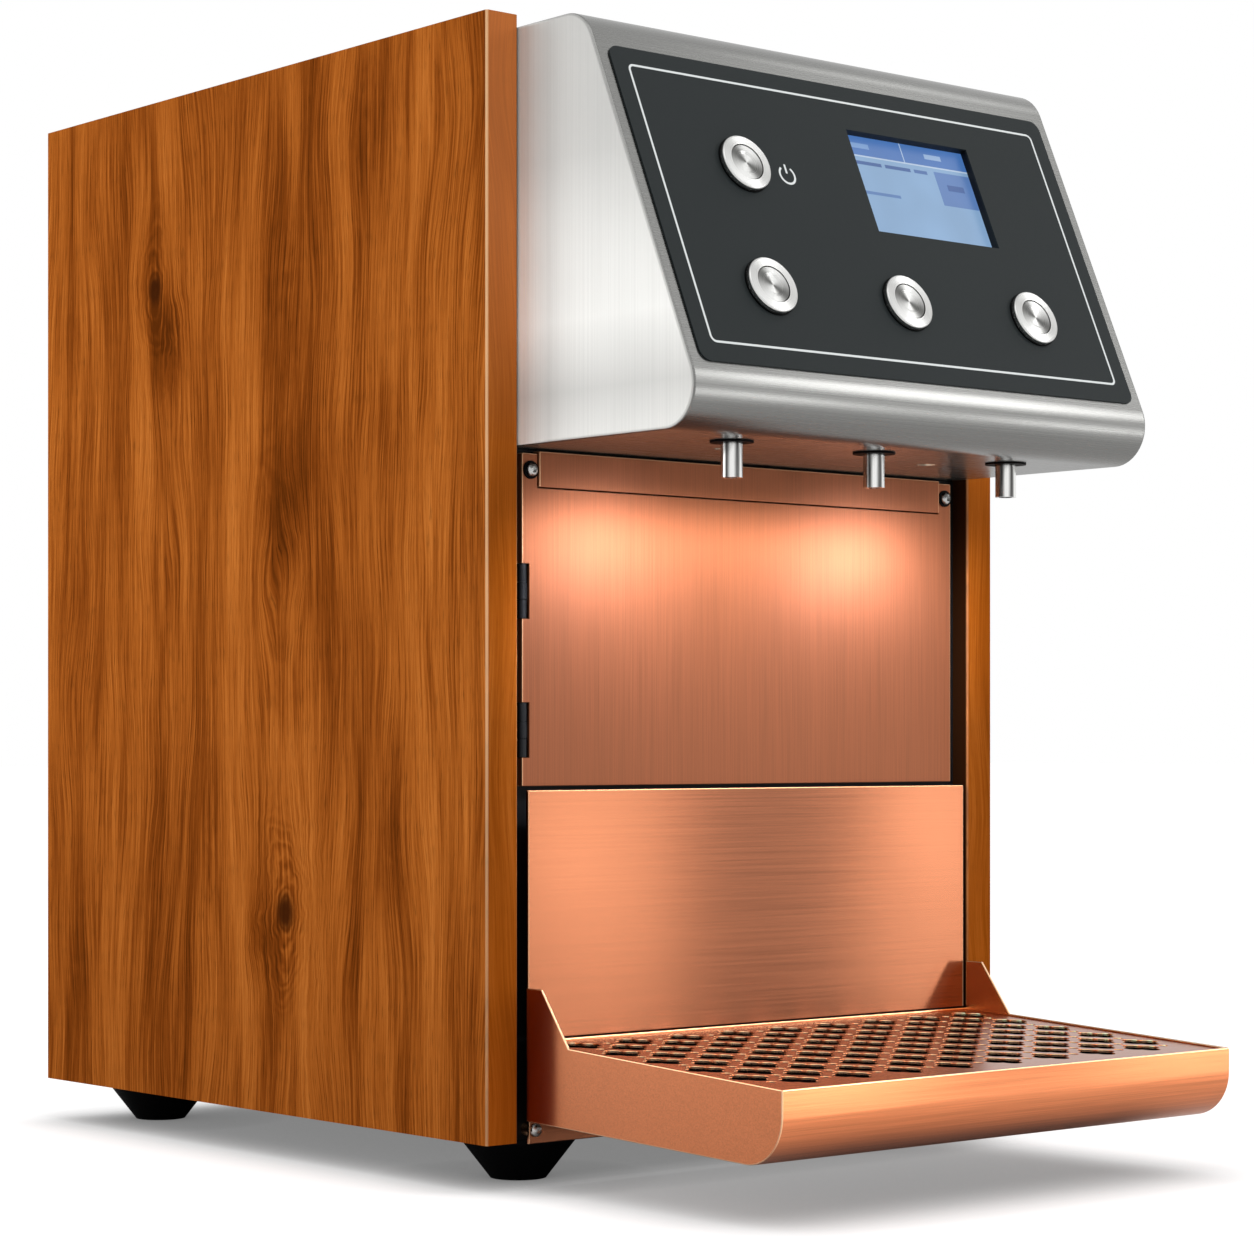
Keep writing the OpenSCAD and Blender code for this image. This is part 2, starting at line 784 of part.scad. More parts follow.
// Push buttons with a fixed body and a sprung cap
module switch_body(place) {
    cap_bore = cap_d / 2 + cap_gap;
    guide = stem_d / 2 + fit_gap;
    edge = bezel_h / 3;
    color("silver") in_cabinet() on_face(place[0], place[1]) difference() {
        union() {
            rotate_extrude() {
                translate([0, bezel_z]) square([bezel_d / 2, bezel_h - edge]);
                translate([0, bezel_z]) square([bezel_d / 2 - edge, bezel_h]);
                translate([bezel_d / 2 - edge, bezel_z + bezel_h - edge]) circle(edge);
            }
            translate([0, 0, -barrel_len]) cylinder(h = barrel_len + bezel_z + lap, d = barrel_d);
            translate([0, 0, -barrel_len - terminal_len]) cylinder(h = terminal_len + lap, d = terminal_d);
        }
        translate([0, 0, cap_z - cap_room]) cylinder(h = cap_room + bezel_h, r = cap_bore);
        translate([0, 0, cap_z - cap_room - stem_len]) cylinder(h = stem_len + lap, r = guide);
    }
}

module push_button(place) {
    dish = 0.4;
    color("lightgray") in_cabinet() on_face(place[0], place[1]) difference() {
        union() {
            translate([0, 0, cap_z - cap_t]) cylinder(h = cap_t, d = cap_d);
            translate([0, 0, cap_z - cap_t - stem_len + button_travel])
                cylinder(h = stem_len - button_travel + lap, d = stem_d);
        }
        translate([0, 0, cap_z - dish]) cylinder(h = dish + cut, d1 = cap_d * 0.5, d2 = cap_d * 1.1);
    }
}

module switch_nuts() {
    color("gray") in_cabinet() for (place = switch_places)
        on_face(place[0], place[1]) translate([0, 0, -sheet_t - nut_h]) difference() {
            cylinder(h = nut_h, d = nut_af / cos(30), $fn = 6);
            translate([0, 0, -cut]) cylinder(h = nut_h + 2 * cut, d = barrel_d + 2 * screw_gap);
        }
}

module switch_seals() {
    color("black") in_cabinet() for (place = switch_places)
        on_face(place[0], place[1]) translate([0, 0, fascia_t]) difference() {
            cylinder(h = seal_t, d = bezel_d + 0.8);
            translate([0, 0, -cut]) cylinder(h = seal_t + 2 * cut, d = barrel_d + 2 * screw_gap);
        }
}

// Nozzles, their rubber grommets and the lamps of the cup bay
module nozzle(i) {
    color("silver") in_cabinet() translate([i * nozzle_pitch, -nozzle_reach, 0]) difference() {
        union() {
            translate([0, 0, nozzle_tip_z])
                cylinder(h = nozzle_block_z - nozzle_tip_z + lap, d = nozzle_d);
            translate([0, 0, nozzle_block_z]) cylinder(h = nozzle_block_h, d = nozzle_block_d);
            translate([0, 0, nozzle_port_z]) to_back()
                cylinder(h = nozzle_block_d / 2 + stub_len, d = stub_d);
        }
        translate([0, 0, nozzle_tip_z - cut])
            cylinder(h = nozzle_port_z - nozzle_tip_z + cut, d = nozzle_bore);
        translate([0, 0, nozzle_port_z]) to_back()
            cylinder(h = nozzle_block_d / 2 + stub_len + cut, d = stub_bore);
    }
}

module nozzle_grommets() {
    color("black") in_cabinet() for (i = [-1:1])
        translate([i * nozzle_pitch, -nozzle_reach, 0]) difference() {
            union() {
                translate([0, 0, head_floor_z - grommet_lip]) cylinder(h = grommet_lip, d = grommet_d);
                translate([0, 0, head_floor_z - grommet_lip])
                    cylinder(h = nozzle_block_z - head_floor_z + grommet_lip, d = grommet_neck_d);
                translate([0, 0, head_floor_in])
                    cylinder(h = nozzle_block_z - head_floor_in, d = grommet_d);
            }
            translate([0, 0, head_floor_z - 2 * cut])
                cylinder(h = nozzle_block_z, d = nozzle_d + 2 * screw_gap);
        }
}

module bay_lamps() {
    color("ivory") in_cabinet() both_sides() translate([lamp_x, -lamp_reach, 0]) {
        translate([0, 0, head_floor_in - lap]) cylinder(h = lamp_h, d = lamp_d);
        translate([0, 0, head_floor_in]) cylinder(h = lamp_flange, d = lamp_d + 2 * lamp_flange);
    }
}

// Copper cup bay: door, header strip, backsplash and base strip
module service_door() {
    back = door_setback + door_depth;
    color("peru") in_cabinet() difference() {
        span([-door_half, door_setback, door_low_z], [door_half, back, door_top_z]);
        span(
            [copper_t - door_half, door_setback + copper_t, door_low_z + copper_t],
            [door_half - copper_t, back + cut, door_top_z - copper_t]
        );
        span(
            [-strip_half - door_gap, door_setback - cut, strip_low_z - door_gap],
            [strip_half + door_gap, back + cut, door_top_z + cut]
        );
        for (z = hinge_heights)
            span(
                [-door_half - cut, door_setback - cut, z - hinge_h / 2 - fit_gap],
                [notch_w - door_half, back + cut, z + hinge_h / 2 + fit_gap]
            );
        both_sides() translate([door_screw_x, door_setback - cut, door_screw_z]) to_back()
            cylinder(h = copper_t + 2 * cut, d = screw_d + 2 * screw_gap);
    }
}

module header_strip() {
    color("peru") in_cabinet() difference() {
        span([-strip_half, strip_face, strip_low_z], [strip_half, frame_setback, strip_top_z]);
        span(
            [copper_t - strip_half, strip_face + copper_t, strip_low_z + copper_t],
            [strip_half - copper_t, frame_setback + cut, strip_top_z - copper_t]
        );
    }
}

module backsplash() {
    back = splash_t - splash_proud;
    color("peru") in_cabinet() {
        span([-splash_half, -splash_proud, splash_low_z], [splash_half, back, splash_top_z]);
        both_sides() for (z = [splash_low_z + stud_inset, splash_top_z - stud_inset])
            translate([splash_half - stud_inset, back - lap, z]) to_back()
                cylinder(h = frame_setback - back + lap, d = stud_d);
    }
}

module base_strip_screw_holes() {
    both_sides() translate([base_strip_screw_x, base_strip_setback - cut, base_strip_screw_z]) to_back()
        cylinder(h = frame_back + sheet_t + 2 * cut, d = screw_d + 2 * screw_gap);
}

module base_strip() {
    boss_d = 5.6;
    color("peru") in_cabinet() difference() {
        union() {
            span(
                [-base_strip_half, base_strip_setback, -base_strip_drop],
                [base_strip_half, base_strip_setback + copper_t, base_strip_top_z]
            );
            both_sides()
                translate([base_strip_screw_x, base_strip_setback + lap, base_strip_screw_z]) to_back()
                    cylinder(h = frame_setback - base_strip_setback - lap, d = boss_d);
        }
        base_strip_screw_holes();
    }
}

module base_strip_screws() {
    color("silver") in_cabinet() both_sides()
        translate([base_strip_screw_x, base_strip_setback, base_strip_screw_z]) to_front()
            socket_screw(door_screw_head_d, screw_head_h, frame_back + sheet_t + 3 - base_strip_setback);
}

// Hinges of the service door
module knuckle(z, h, bore_d) {
    translate([hinge_x, hinge_y, z]) difference() {
        children();
        translate([0, 0, -cut]) cylinder(h = h + 2 * cut, d = bore_d);
    }
}

module frame_hinge_leaves() {
    tongue = leaf_t / 2 + fit_gap / 2;
    color("black") in_cabinet() for (z = hinge_heights) {
        for (end = [-1, 1])
            knuckle(z + end * knuckle_h - knuckle_h / 2, knuckle_h, hinge_pin_d) {
                union() {
                    cylinder(h = knuckle_h, d = knuckle_d);
                    translate([-tongue, 0, 0]) cube([2 * tongue, frame_back + leaf_t - hinge_y, knuckle_h]);
                }
            }
        span(
            [hinge_x - tongue, frame_back, z - hinge_h / 2],
            [hinge_x + leaf_len, frame_back + leaf_t, z + hinge_h / 2]
        );
    }
}

module door_hinge_leaves() {
    seat = door_setback + copper_t - hinge_y;
    color("black") in_cabinet() for (z = hinge_heights)
        knuckle(z - knuckle_h / 2 + fit_gap, knuckle_h - 2 * fit_gap, hinge_pin_d + 2 * pin_gap) {
            union() {
                cylinder(h = knuckle_h - 2 * fit_gap, d = knuckle_d);
                translate([0, seat, 0]) cube([leaf_len, leaf_t, knuckle_h - 2 * fit_gap]);
            }
        }
}

module hinge_pins() {
    color("silver") in_cabinet() for (z = hinge_heights)
        translate([hinge_x, hinge_y, z - hinge_h / 2]) cylinder(h = hinge_h, d = hinge_pin_d);
}

module door_screws() {
    color("silver") in_cabinet() both_sides()
        translate([door_screw_x, door_setback - washer_t, door_screw_z]) to_front()
            socket_screw(door_screw_head_d, screw_head_h, washer_t + door_depth - fit_gap);
}

module door_washers() {
    color("black") in_cabinet() both_sides()
        translate([door_screw_x, door_setback, door_screw_z]) to_front() difference() {
            cylinder(h = washer_t, d = washer_d);
            translate([0, 0, -cut]) cylinder(h = washer_t + 2 * cut, d = screw_d + 2 * screw_gap);
        }
}

// Drip tray with its ears and hooks, the hanger that carries it, and the grille
module tray_cheek() {
    polygon([
        [tray_back, rim_back_z - 2 * lap],
        [tray_back, ear_z],
        [tray_back - ear_top_len, ear_z],
        [ear_foot_y, rim_z],
        [ear_foot_y, rim_z - 2 * lap]
    ]);
    rounded_outline(tray_points, [0, 0, tray_nose_r, 0]);
}

module drip_tray() {
    hollow = inset(tray_points, tray_t);
    open_top = [for (i = [0:3]) hollow[i] + (i < 2 ? [0, 3 * tray_t] : [0, 0])];
    hook_back = hanger_back + fit_gap;
    color("peru") in_cabinet() {
        across(2 * tray_half) difference() {
            rounded_outline(tray_points, [0, 0, tray_nose_r, 0]);
            rounded_outline(open_top, [0, 0, tray_nose_r - tray_t, 0]);
        }
        both_sides() translate([tray_half - tray_t / 2, 0, 0]) across(tray_t) tray_cheek();
        both_sides() {
            span(
                [hook_x - hook_w / 2, tray_back - lap, hanger_z],
                [hook_x + hook_w / 2, hook_back + tray_t, hanger_z + tray_t]
            );
            span(
                [hook_x - hook_w / 2, hook_back, hanger_z - hook_len],
                [hook_x + hook_w / 2, hook_back + tray_t, hanger_z + tray_t]
            );
        }
    }
}

module tray_hanger() {
    half = hook_x + hook_w / 2 + 4;
    color("dimgray") in_cabinet() {
        span([-half, hanger_face, hanger_low_z], [half, hanger_back, hanger_z]);
        span([-half, hanger_face, hanger_low_z], [half, base_strip_setback, hanger_low_z + hanger_t]);
    }
}

module clover() {
    for (turn = [0:90:270]) rotate(turn) translate([petal_reach, 0]) circle(d = petal_d);
    square(2 * petal_reach, center = true);
}

module drip_grille() {
    plate = [
        [grille_front, rim_at(grille_front) - grille_drop],
        [grille_front, rim_at(grille_front) - grille_drop - grille_t],
        [grille_back, rim_at(grille_back) - grille_drop - grille_t],
        [grille_back, rim_at(grille_back) - grille_drop]
    ];
    color("peru") in_cabinet() difference() {
        across(2 * grille_half) polygon(plate);
        translate([0, grille_front + row_margin, floor_z]) linear_extrude(rim_z)
            for (row = [0:row_count - 1], column = [-column_reach:column_reach])
                translate([column * hole_pitch / 2, row * row_pitch])
                    if ((row + column) % 2 == 0) circle(d = pip_d); else clover();
    }
}

module grille_legs() {
    leg = [
        [leg_front, rim_at(leg_front) - grille_drop - grille_t],
        [leg_front, floor_at(leg_front) + tray_t / cos(floor_fall)],
        [leg_back, floor_at(leg_back) + tray_t / cos(floor_fall)],
        [leg_back, rim_at(leg_back) - grille_drop - grille_t]
    ];
    color("peru") in_cabinet() both_sides()
        translate([grille_half - grille_t / 2, 0, 0]) across(grille_t) polygon(leg);
}

// Rubber feet and their screws
function foot_places() = [
    for (y = [foot_inset_front, panel_depth - foot_inset_rear], side = [-1, 1])
        [side * (body_w / 2 - foot_inset_x), y]
];

module foot(i) {
    place = foot_places()[i];
    color("black") in_cabinet() translate([place[0], place[1], 0]) difference() {
        union() {
            translate([0, 0, -foot_rim_h]) cylinder(h = foot_rim_h, d = foot_top_d);
            translate([0, 0, -foot_h])
                cylinder(h = foot_h - foot_rim_h, d1 = foot_bottom_d, d2 = foot_top_d);
        }
        translate([0, 0, -foot_h - cut]) cylinder(h = foot_recess_h + cut, d = foot_recess_d);
        translate([0, 0, -foot_h]) cylinder(h = foot_h + cut, d = foot_screw_d + 2 * screw_gap);
    }
}

module foot_screws() {
    head_h = 4;
    head_gap = 1;
    socket_depth = 2;
    color("silver") in_cabinet() for (place = foot_places())
        translate([place[0], place[1], foot_recess_h - foot_h]) difference() {
            union() {
                cylinder(h = foot_h - foot_recess_h + foot_boss_h, d = foot_screw_d);
                translate([0, 0, -head_h]) cylinder(h = head_h, d = foot_recess_d - 2 * head_gap);
            }
            translate([0, 0, -head_h - cut]) cylinder(h = socket_depth + cut, d = foot_screw_d, $fn = 6);
        }
}

// Inside of the cabinet
module pump_shelf() {
    color("gainsboro") in_cabinet()
        span([-shelf_half, shelf_y, shelf_z], [shelf_half, shelf_y + shelf_depth, shelf_z + shelf_t]);
}

module shelf_posts() {
    front = foot_inset_front + (foot_recess_d + post_d) / 2 + post_clear;
    color("silver") in_cabinet() both_sides() for (y = [front, shelf_y + shelf_depth - post_inset])
        translate([shelf_half - post_inset, y, sheet_t]) cylinder(h = shelf_z - sheet_t, d = post_d);
}

module stub(h) difference() {
    cylinder(h = h, d = stub_d);
    translate([0, 0, 1]) cylinder(h = h, d = stub_bore);
}

module pump(i) {
    motor_z = pump_z + pump_h / 2;
    color("dimgray") in_cabinet() translate([i * pump_pitch, 0, 0]) {
        span(
            [-pump_w / 2, pump_y - pump_depth / 2, pump_z],
            [pump_w / 2, pump_y + pump_depth / 2, pump_top_z]
        );
        translate([0, pump_y, motor_z]) to_back() cylinder(h = pump_depth / 2 + motor_len, d = motor_d);
        span(
            [-motor_d / 4, pump_y, pump_z],
            [motor_d / 4, pump_y + pump_depth / 2 + motor_len - 6, motor_z]
        );
        for (side = [-1, 1]) translate([side * port_x, pump_y, pump_top_z]) stub(stub_len);
    }
}

module flow_heater() {
    lid_h = 12;
    color("lightgray") in_cabinet() translate([0, heater_y, sheet_t]) {
        cylinder(h = heater_h - lid_h, d = heater_d - 6);
        cylinder(h = lid_h, d = heater_d);
        translate([0, 0, heater_h - lid_h]) cylinder(h = lid_h, d = heater_d);
        for (x = [-1:1], y = [-1, 1])
            translate([x * heater_port_x, y * heater_port_y, heater_h]) stub(stub_len);
    }
}

// Round hose along straight runs with bends of one radius. A ring holds a centre, a direction and a radius
function bend_rings(p, i) =
    let (
        a = unit(p[i] - p[i - 1]),
        b = unit(p[i + 1] - p[i]),
        turn = acos(a * b),
        side = unit(b - (a * b) * a),
        centre = p[i] - a * hose_bend * tan(turn / 2) + side * hose_bend
    )
    [
        for (k = [0:bend_steps])
            let (angle = turn * k / bend_steps)
            [
                centre + hose_bend * (a * sin(angle) - side * cos(angle)),
                a * cos(angle) + side * sin(angle),
                hose_d / 2
            ]
    ];
// A socket at an end takes a stub: its floor, its mouth and the hose's outer edge
function end_rings(p, way) =
    [[p + way * stub_len, way, hose_bore / 2], [p, way, hose_bore / 2], [p, way, hose_d / 2]];
function hose_rings(p) =
    let (
        last = len(p) - 1,
        tail = [for (ring = end_rings(p[last], unit(p[last - 1] - p[last]))) [ring[0], -ring[1], ring[2]]]
    )
    concat(
        end_rings(p[0], unit(p[1] - p[0])),
        [for (i = [1:last - 1]) each bend_rings(p, i)],
        [tail[2], tail[1], tail[0]]
    );
function ring_points(ring) =
    let (across_way = unit(cross(ring[1], [1, 0, 0])), up_way = cross(ring[1], across_way))
    [
        for (k = [0:hose_sides - 1])
            let (angle = 360 * k / hose_sides)
            ring[0] + ring[2] * (across_way * cos(angle) + up_way * sin(angle))
    ];

module hose(p) {
    rings = hose_rings(p);
    n = hose_sides;
    last = len(rings) - 1;
    polyhedron(
        points = [for (ring = rings) each ring_points(ring)],
        faces = concat(
            [for (k = [1:n - 2]) [0, k, k + 1]],
            [for (k = [1:n - 2]) [last * n, last * n + k + 1, last * n + k]],
            [for (i = [0:last - 1], k = [0:n - 1]) [i * n + k, (i + 1) * n + k, i * n + (k + 1) % n]],
            [
                for (i = [0:last - 1], k = [0:n - 1])
                    [i * n + (k + 1) % n, (i + 1) * n + k, (i + 1) * n + (k + 1) % n]
            ]
        )
    );
}

module supply_hoses() {
    color("whitesmoke") in_cabinet() for (i = [-1:1]) {
        x = inlet_x + i * inlet_pitch;
        end_x = i * pump_pitch - port_x;
        hose([
            [x, rear_y - inlet_nut_h - seam, inlet_z],
            [x, riser_y, inlet_z],
            [x, riser_y, supply_z],
            [end_x, pump_y, supply_z],
            [end_x, pump_y, pump_top_z + seam]
        ]);
    }
}

module heater_hoses() {
    color("whitesmoke") in_cabinet() for (i = [-1:1]) {
        start_x = i * pump_pitch + port_x;
        end_y = heater_y - heater_port_y;
        hose([
            [start_x, pump_y, pump_top_z + seam],
            [start_x, pump_y, feed_z],
            [i * heater_port_x, end_y, feed_z],
            [i * heater_port_x, end_y, heater_top_z + seam]
        ]);
    }
}

module nozzle_hoses() {
    color("whitesmoke") in_cabinet() for (i = [-1:1]) {
        end_y = heater_y + heater_port_y;
        start = [i * nozzle_pitch, nozzle_block_d / 2 + seam - nozzle_reach, nozzle_port_z];
        fork = [i * nozzle_pitch, head_tail, nozzle_port_z];
        down = [[i * heater_port_x, end_y, nozzle_port_z], [i * heater_port_x, end_y, heater_top_z + seam]];
        hose(i == 0 ? concat([start], down) : concat([start, fork], down));
    }
}

module power_supply() {
    left = sheet_in - supply_gap - supply_w;
    back = panel_depth - foot_inset_rear - foot_recess_d;
    color("silver") in_cabinet() difference() {
        span([left, back - supply_len, sheet_t], [left + supply_w, back, sheet_t + supply_h]);
        for (row = [1:9])
            translate([left - cut, back - row * supply_len / 10 - slot_w / 2, sheet_t + slot_margin])
                cube([slot_depth + cut, slot_w, supply_h - 2 * slot_margin]);
    }
}

module control_board() {
    face = board_gap + board_t - lap;
    color("green") in_cabinet() translate([-inner_half, board_y, board_z]) {
        span([board_gap, 0, 0], [board_gap + board_t, board_w, board_h]);
        for (y = [spacer_d, board_w - spacer_d], z = [spacer_d, board_h - spacer_d])
            translate([0, y, z]) to_side(1) cylinder(h = board_gap + lap, d = spacer_d);
        for (i = [0:2])
            translate([face, relay_y + i * relay_pitch, relay_z]) cube([relay_h, relay_w, relay_len]);
        translate([face, relay_y, converter_z]) cube([converter_h, converter_w, converter_len]);
        translate([face, terminal_y, terminal_z]) cube([terminal_h, terminal_w, terminal_row]);
    }
}

// Rear connections
module mains_inlet() {
    face = rear_y + sheet_t;
    floor_y = face + mains_floor - mains_depth;
    color("black") in_cabinet() translate([mains_x, 0, mains_z]) {
        difference() {
            union() {
                translate([0, face, 0]) to_back() linear_extrude(mains_flange_t)
                    rounded_rectangle(mains_flange_w, mains_flange_h, mains_flange_r);
                span(
                    [-mains_w / 2, face - mains_depth, -mains_h / 2],
                    [mains_w / 2, face + mains_flange_t / 2, mains_h / 2]
                );
            }
            span(
                [mains_wall - mains_w / 2, floor_y, mains_wall - mains_h / 2],
                [mains_w / 2 - mains_wall, face + mains_flange_t + cut, mains_h / 2 - mains_wall]
            );
        }
        for (place = [[-mains_pin_x, -mains_pin_z], [0, mains_pin_z], [mains_pin_x, -mains_pin_z]])
            translate([place[0] - mains_pin_t / 2, floor_y - lap, place[1] - mains_pin_w / 2])
                cube([mains_pin_t, mains_pin_len, mains_pin_w]);
    }
}

module hose_inlets() {
    face = rear_y + sheet_t;
    color("silver") in_cabinet() for (i = [-1:1])
        translate([inlet_x + i * inlet_pitch, 0, inlet_z]) difference() {
            union() {
                translate([0, face, 0]) to_back() cylinder(h = inlet_flange_t, d = inlet_flange_d);
                translate([0, face, 0]) to_back() cylinder(h = inlet_flange_t + tail_len, d = tail_d);
                translate([0, rear_y - lap, 0]) to_back()
                    cylinder(h = sheet_t + 2 * lap, d = inlet_thread_d);
                translate([0, rear_y, 0]) to_front() cylinder(h = inlet_nut_h, d = inlet_flange_d, $fn = 6);
                translate([0, rear_y, 0]) to_front() cylinder(h = inlet_nut_h + stub_len, d = stub_d);
            }
            translate([0, rear_y - inlet_nut_h - stub_len - cut, 0]) to_back()
                cylinder(h = 2 * stub_len + 2 * tail_len + inlet_nut_h, d = stub_bore);
        }
}

side_panel(-1);  // left_side_panel
side_panel(1);  // right_side_panel
base_plate();
front_frame();
rear_cover();
top_cover();
head_shell();
control_fascia();
display_bezel();
display_panel();
switch_body(switch_places[0]);  // power_switch_body
switch_body(switch_places[1]);  // left_switch_body
switch_body(switch_places[2]);  // centre_switch_body
switch_body(switch_places[3]);  // right_switch_body
push_button(switch_places[0]);  // power_button
push_button(switch_places[1]);  // left_portion_button
push_button(switch_places[2]);  // centre_portion_button
push_button(switch_places[3]);  // right_portion_button
switch_nuts();
switch_seals();
nozzle(-1);  // left_nozzle
nozzle(0);  // centre_nozzle
nozzle(1);  // right_nozzle
nozzle_grommets();
bay_lamps();
service_door();
door_hinge_leaves();
frame_hinge_leaves();
hinge_pins();
door_screws();
door_washers();
header_strip();
backsplash();
base_strip();
base_strip_screws();
tray_hanger();
drip_tray();
drip_grille();
grille_legs();
foot(0);  // front_left_foot
foot(1);  // front_right_foot
foot(2);  // rear_left_foot
foot(3);  // rear_right_foot
foot_screws();
pump_shelf();
shelf_posts();
pump(-1);  // left_pump
pump(0);  // centre_pump
pump(1);  // right_pump
flow_heater();
supply_hoses();
heater_hoses();
nozzle_hoses();
power_supply();
control_board();
mains_inlet();
hose_inlets();
cover_screws();
panel_screws();
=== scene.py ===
"""Looks of the countertop mulled wine dispenser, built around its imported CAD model.

Everything is in metres, in the frame of the CAD model: +X to the right seen from the front, +Y to the back, +Z up,
with the origin on the table in the middle of the footprint.
"""

import logging
import math
from dataclasses import dataclass, field
from enum import Enum
from typing import Any, ClassVar, Mapping, Sequence

import bmesh
import bpy
from mathutils import Matrix, Vector


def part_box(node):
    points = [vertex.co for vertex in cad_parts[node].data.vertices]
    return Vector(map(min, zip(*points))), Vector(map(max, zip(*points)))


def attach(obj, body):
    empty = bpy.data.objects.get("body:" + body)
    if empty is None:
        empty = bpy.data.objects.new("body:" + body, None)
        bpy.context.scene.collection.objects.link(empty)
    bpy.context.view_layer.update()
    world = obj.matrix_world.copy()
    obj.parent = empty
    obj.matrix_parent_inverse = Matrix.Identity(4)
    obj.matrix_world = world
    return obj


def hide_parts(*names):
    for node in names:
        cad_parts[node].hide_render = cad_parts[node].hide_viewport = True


LOG = logging.getLogger("dispenser")
MM = 0.001
NOISE_LOW, NOISE_HIGH = 0.3, 0.7
FACE_TILT_DEG = 23.6
TILT = math.radians(90 - FACE_TILT_DEG)
INWARD = (0.0, math.cos(math.radians(FACE_TILT_DEG)), -math.sin(math.radians(FACE_TILT_DEG)))

Socket = bpy.types.NodeSocket
Value = Socket | float | Sequence[float]
Stops = tuple[tuple[float, str], ...]

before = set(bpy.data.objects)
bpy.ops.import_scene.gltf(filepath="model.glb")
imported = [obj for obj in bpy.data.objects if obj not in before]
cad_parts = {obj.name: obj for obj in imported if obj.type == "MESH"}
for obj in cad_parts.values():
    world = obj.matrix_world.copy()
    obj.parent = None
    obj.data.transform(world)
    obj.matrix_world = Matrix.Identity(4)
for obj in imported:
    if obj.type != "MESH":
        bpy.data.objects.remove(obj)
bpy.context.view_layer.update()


class Brushing(Enum):
    """Direction of the brush marks on a sheet."""

    UPRIGHT = (0.0, 0.0, 1.0)
    LEVEL = (1.0, 0.0, 0.0)


class Form(Enum):
    """Which edges of a node are softened."""

    OUTER = "edges on the node's own box"
    SHARP = "every sharp outward edge"
    CHEEK = "edges between a side wall and the folded wrap"


def linear(code: str, alpha: float = 1.0) -> tuple[float, float, float, float]:
    """Turn an sRGB hex colour into linear light.

    Args:
        code: Colour as #rrggbb.
        alpha: Opacity to add.

    Returns:
        Linear red, green, blue and alpha.
    """
    values = [int(code[i : i + 2], 16) / 255 for i in (1, 3, 5)]
    red, green, blue = (v / 12.92 if v <= 0.04045 else ((v + 0.055) / 1.055) ** 2.4 for v in values)
    return red, green, blue, alpha


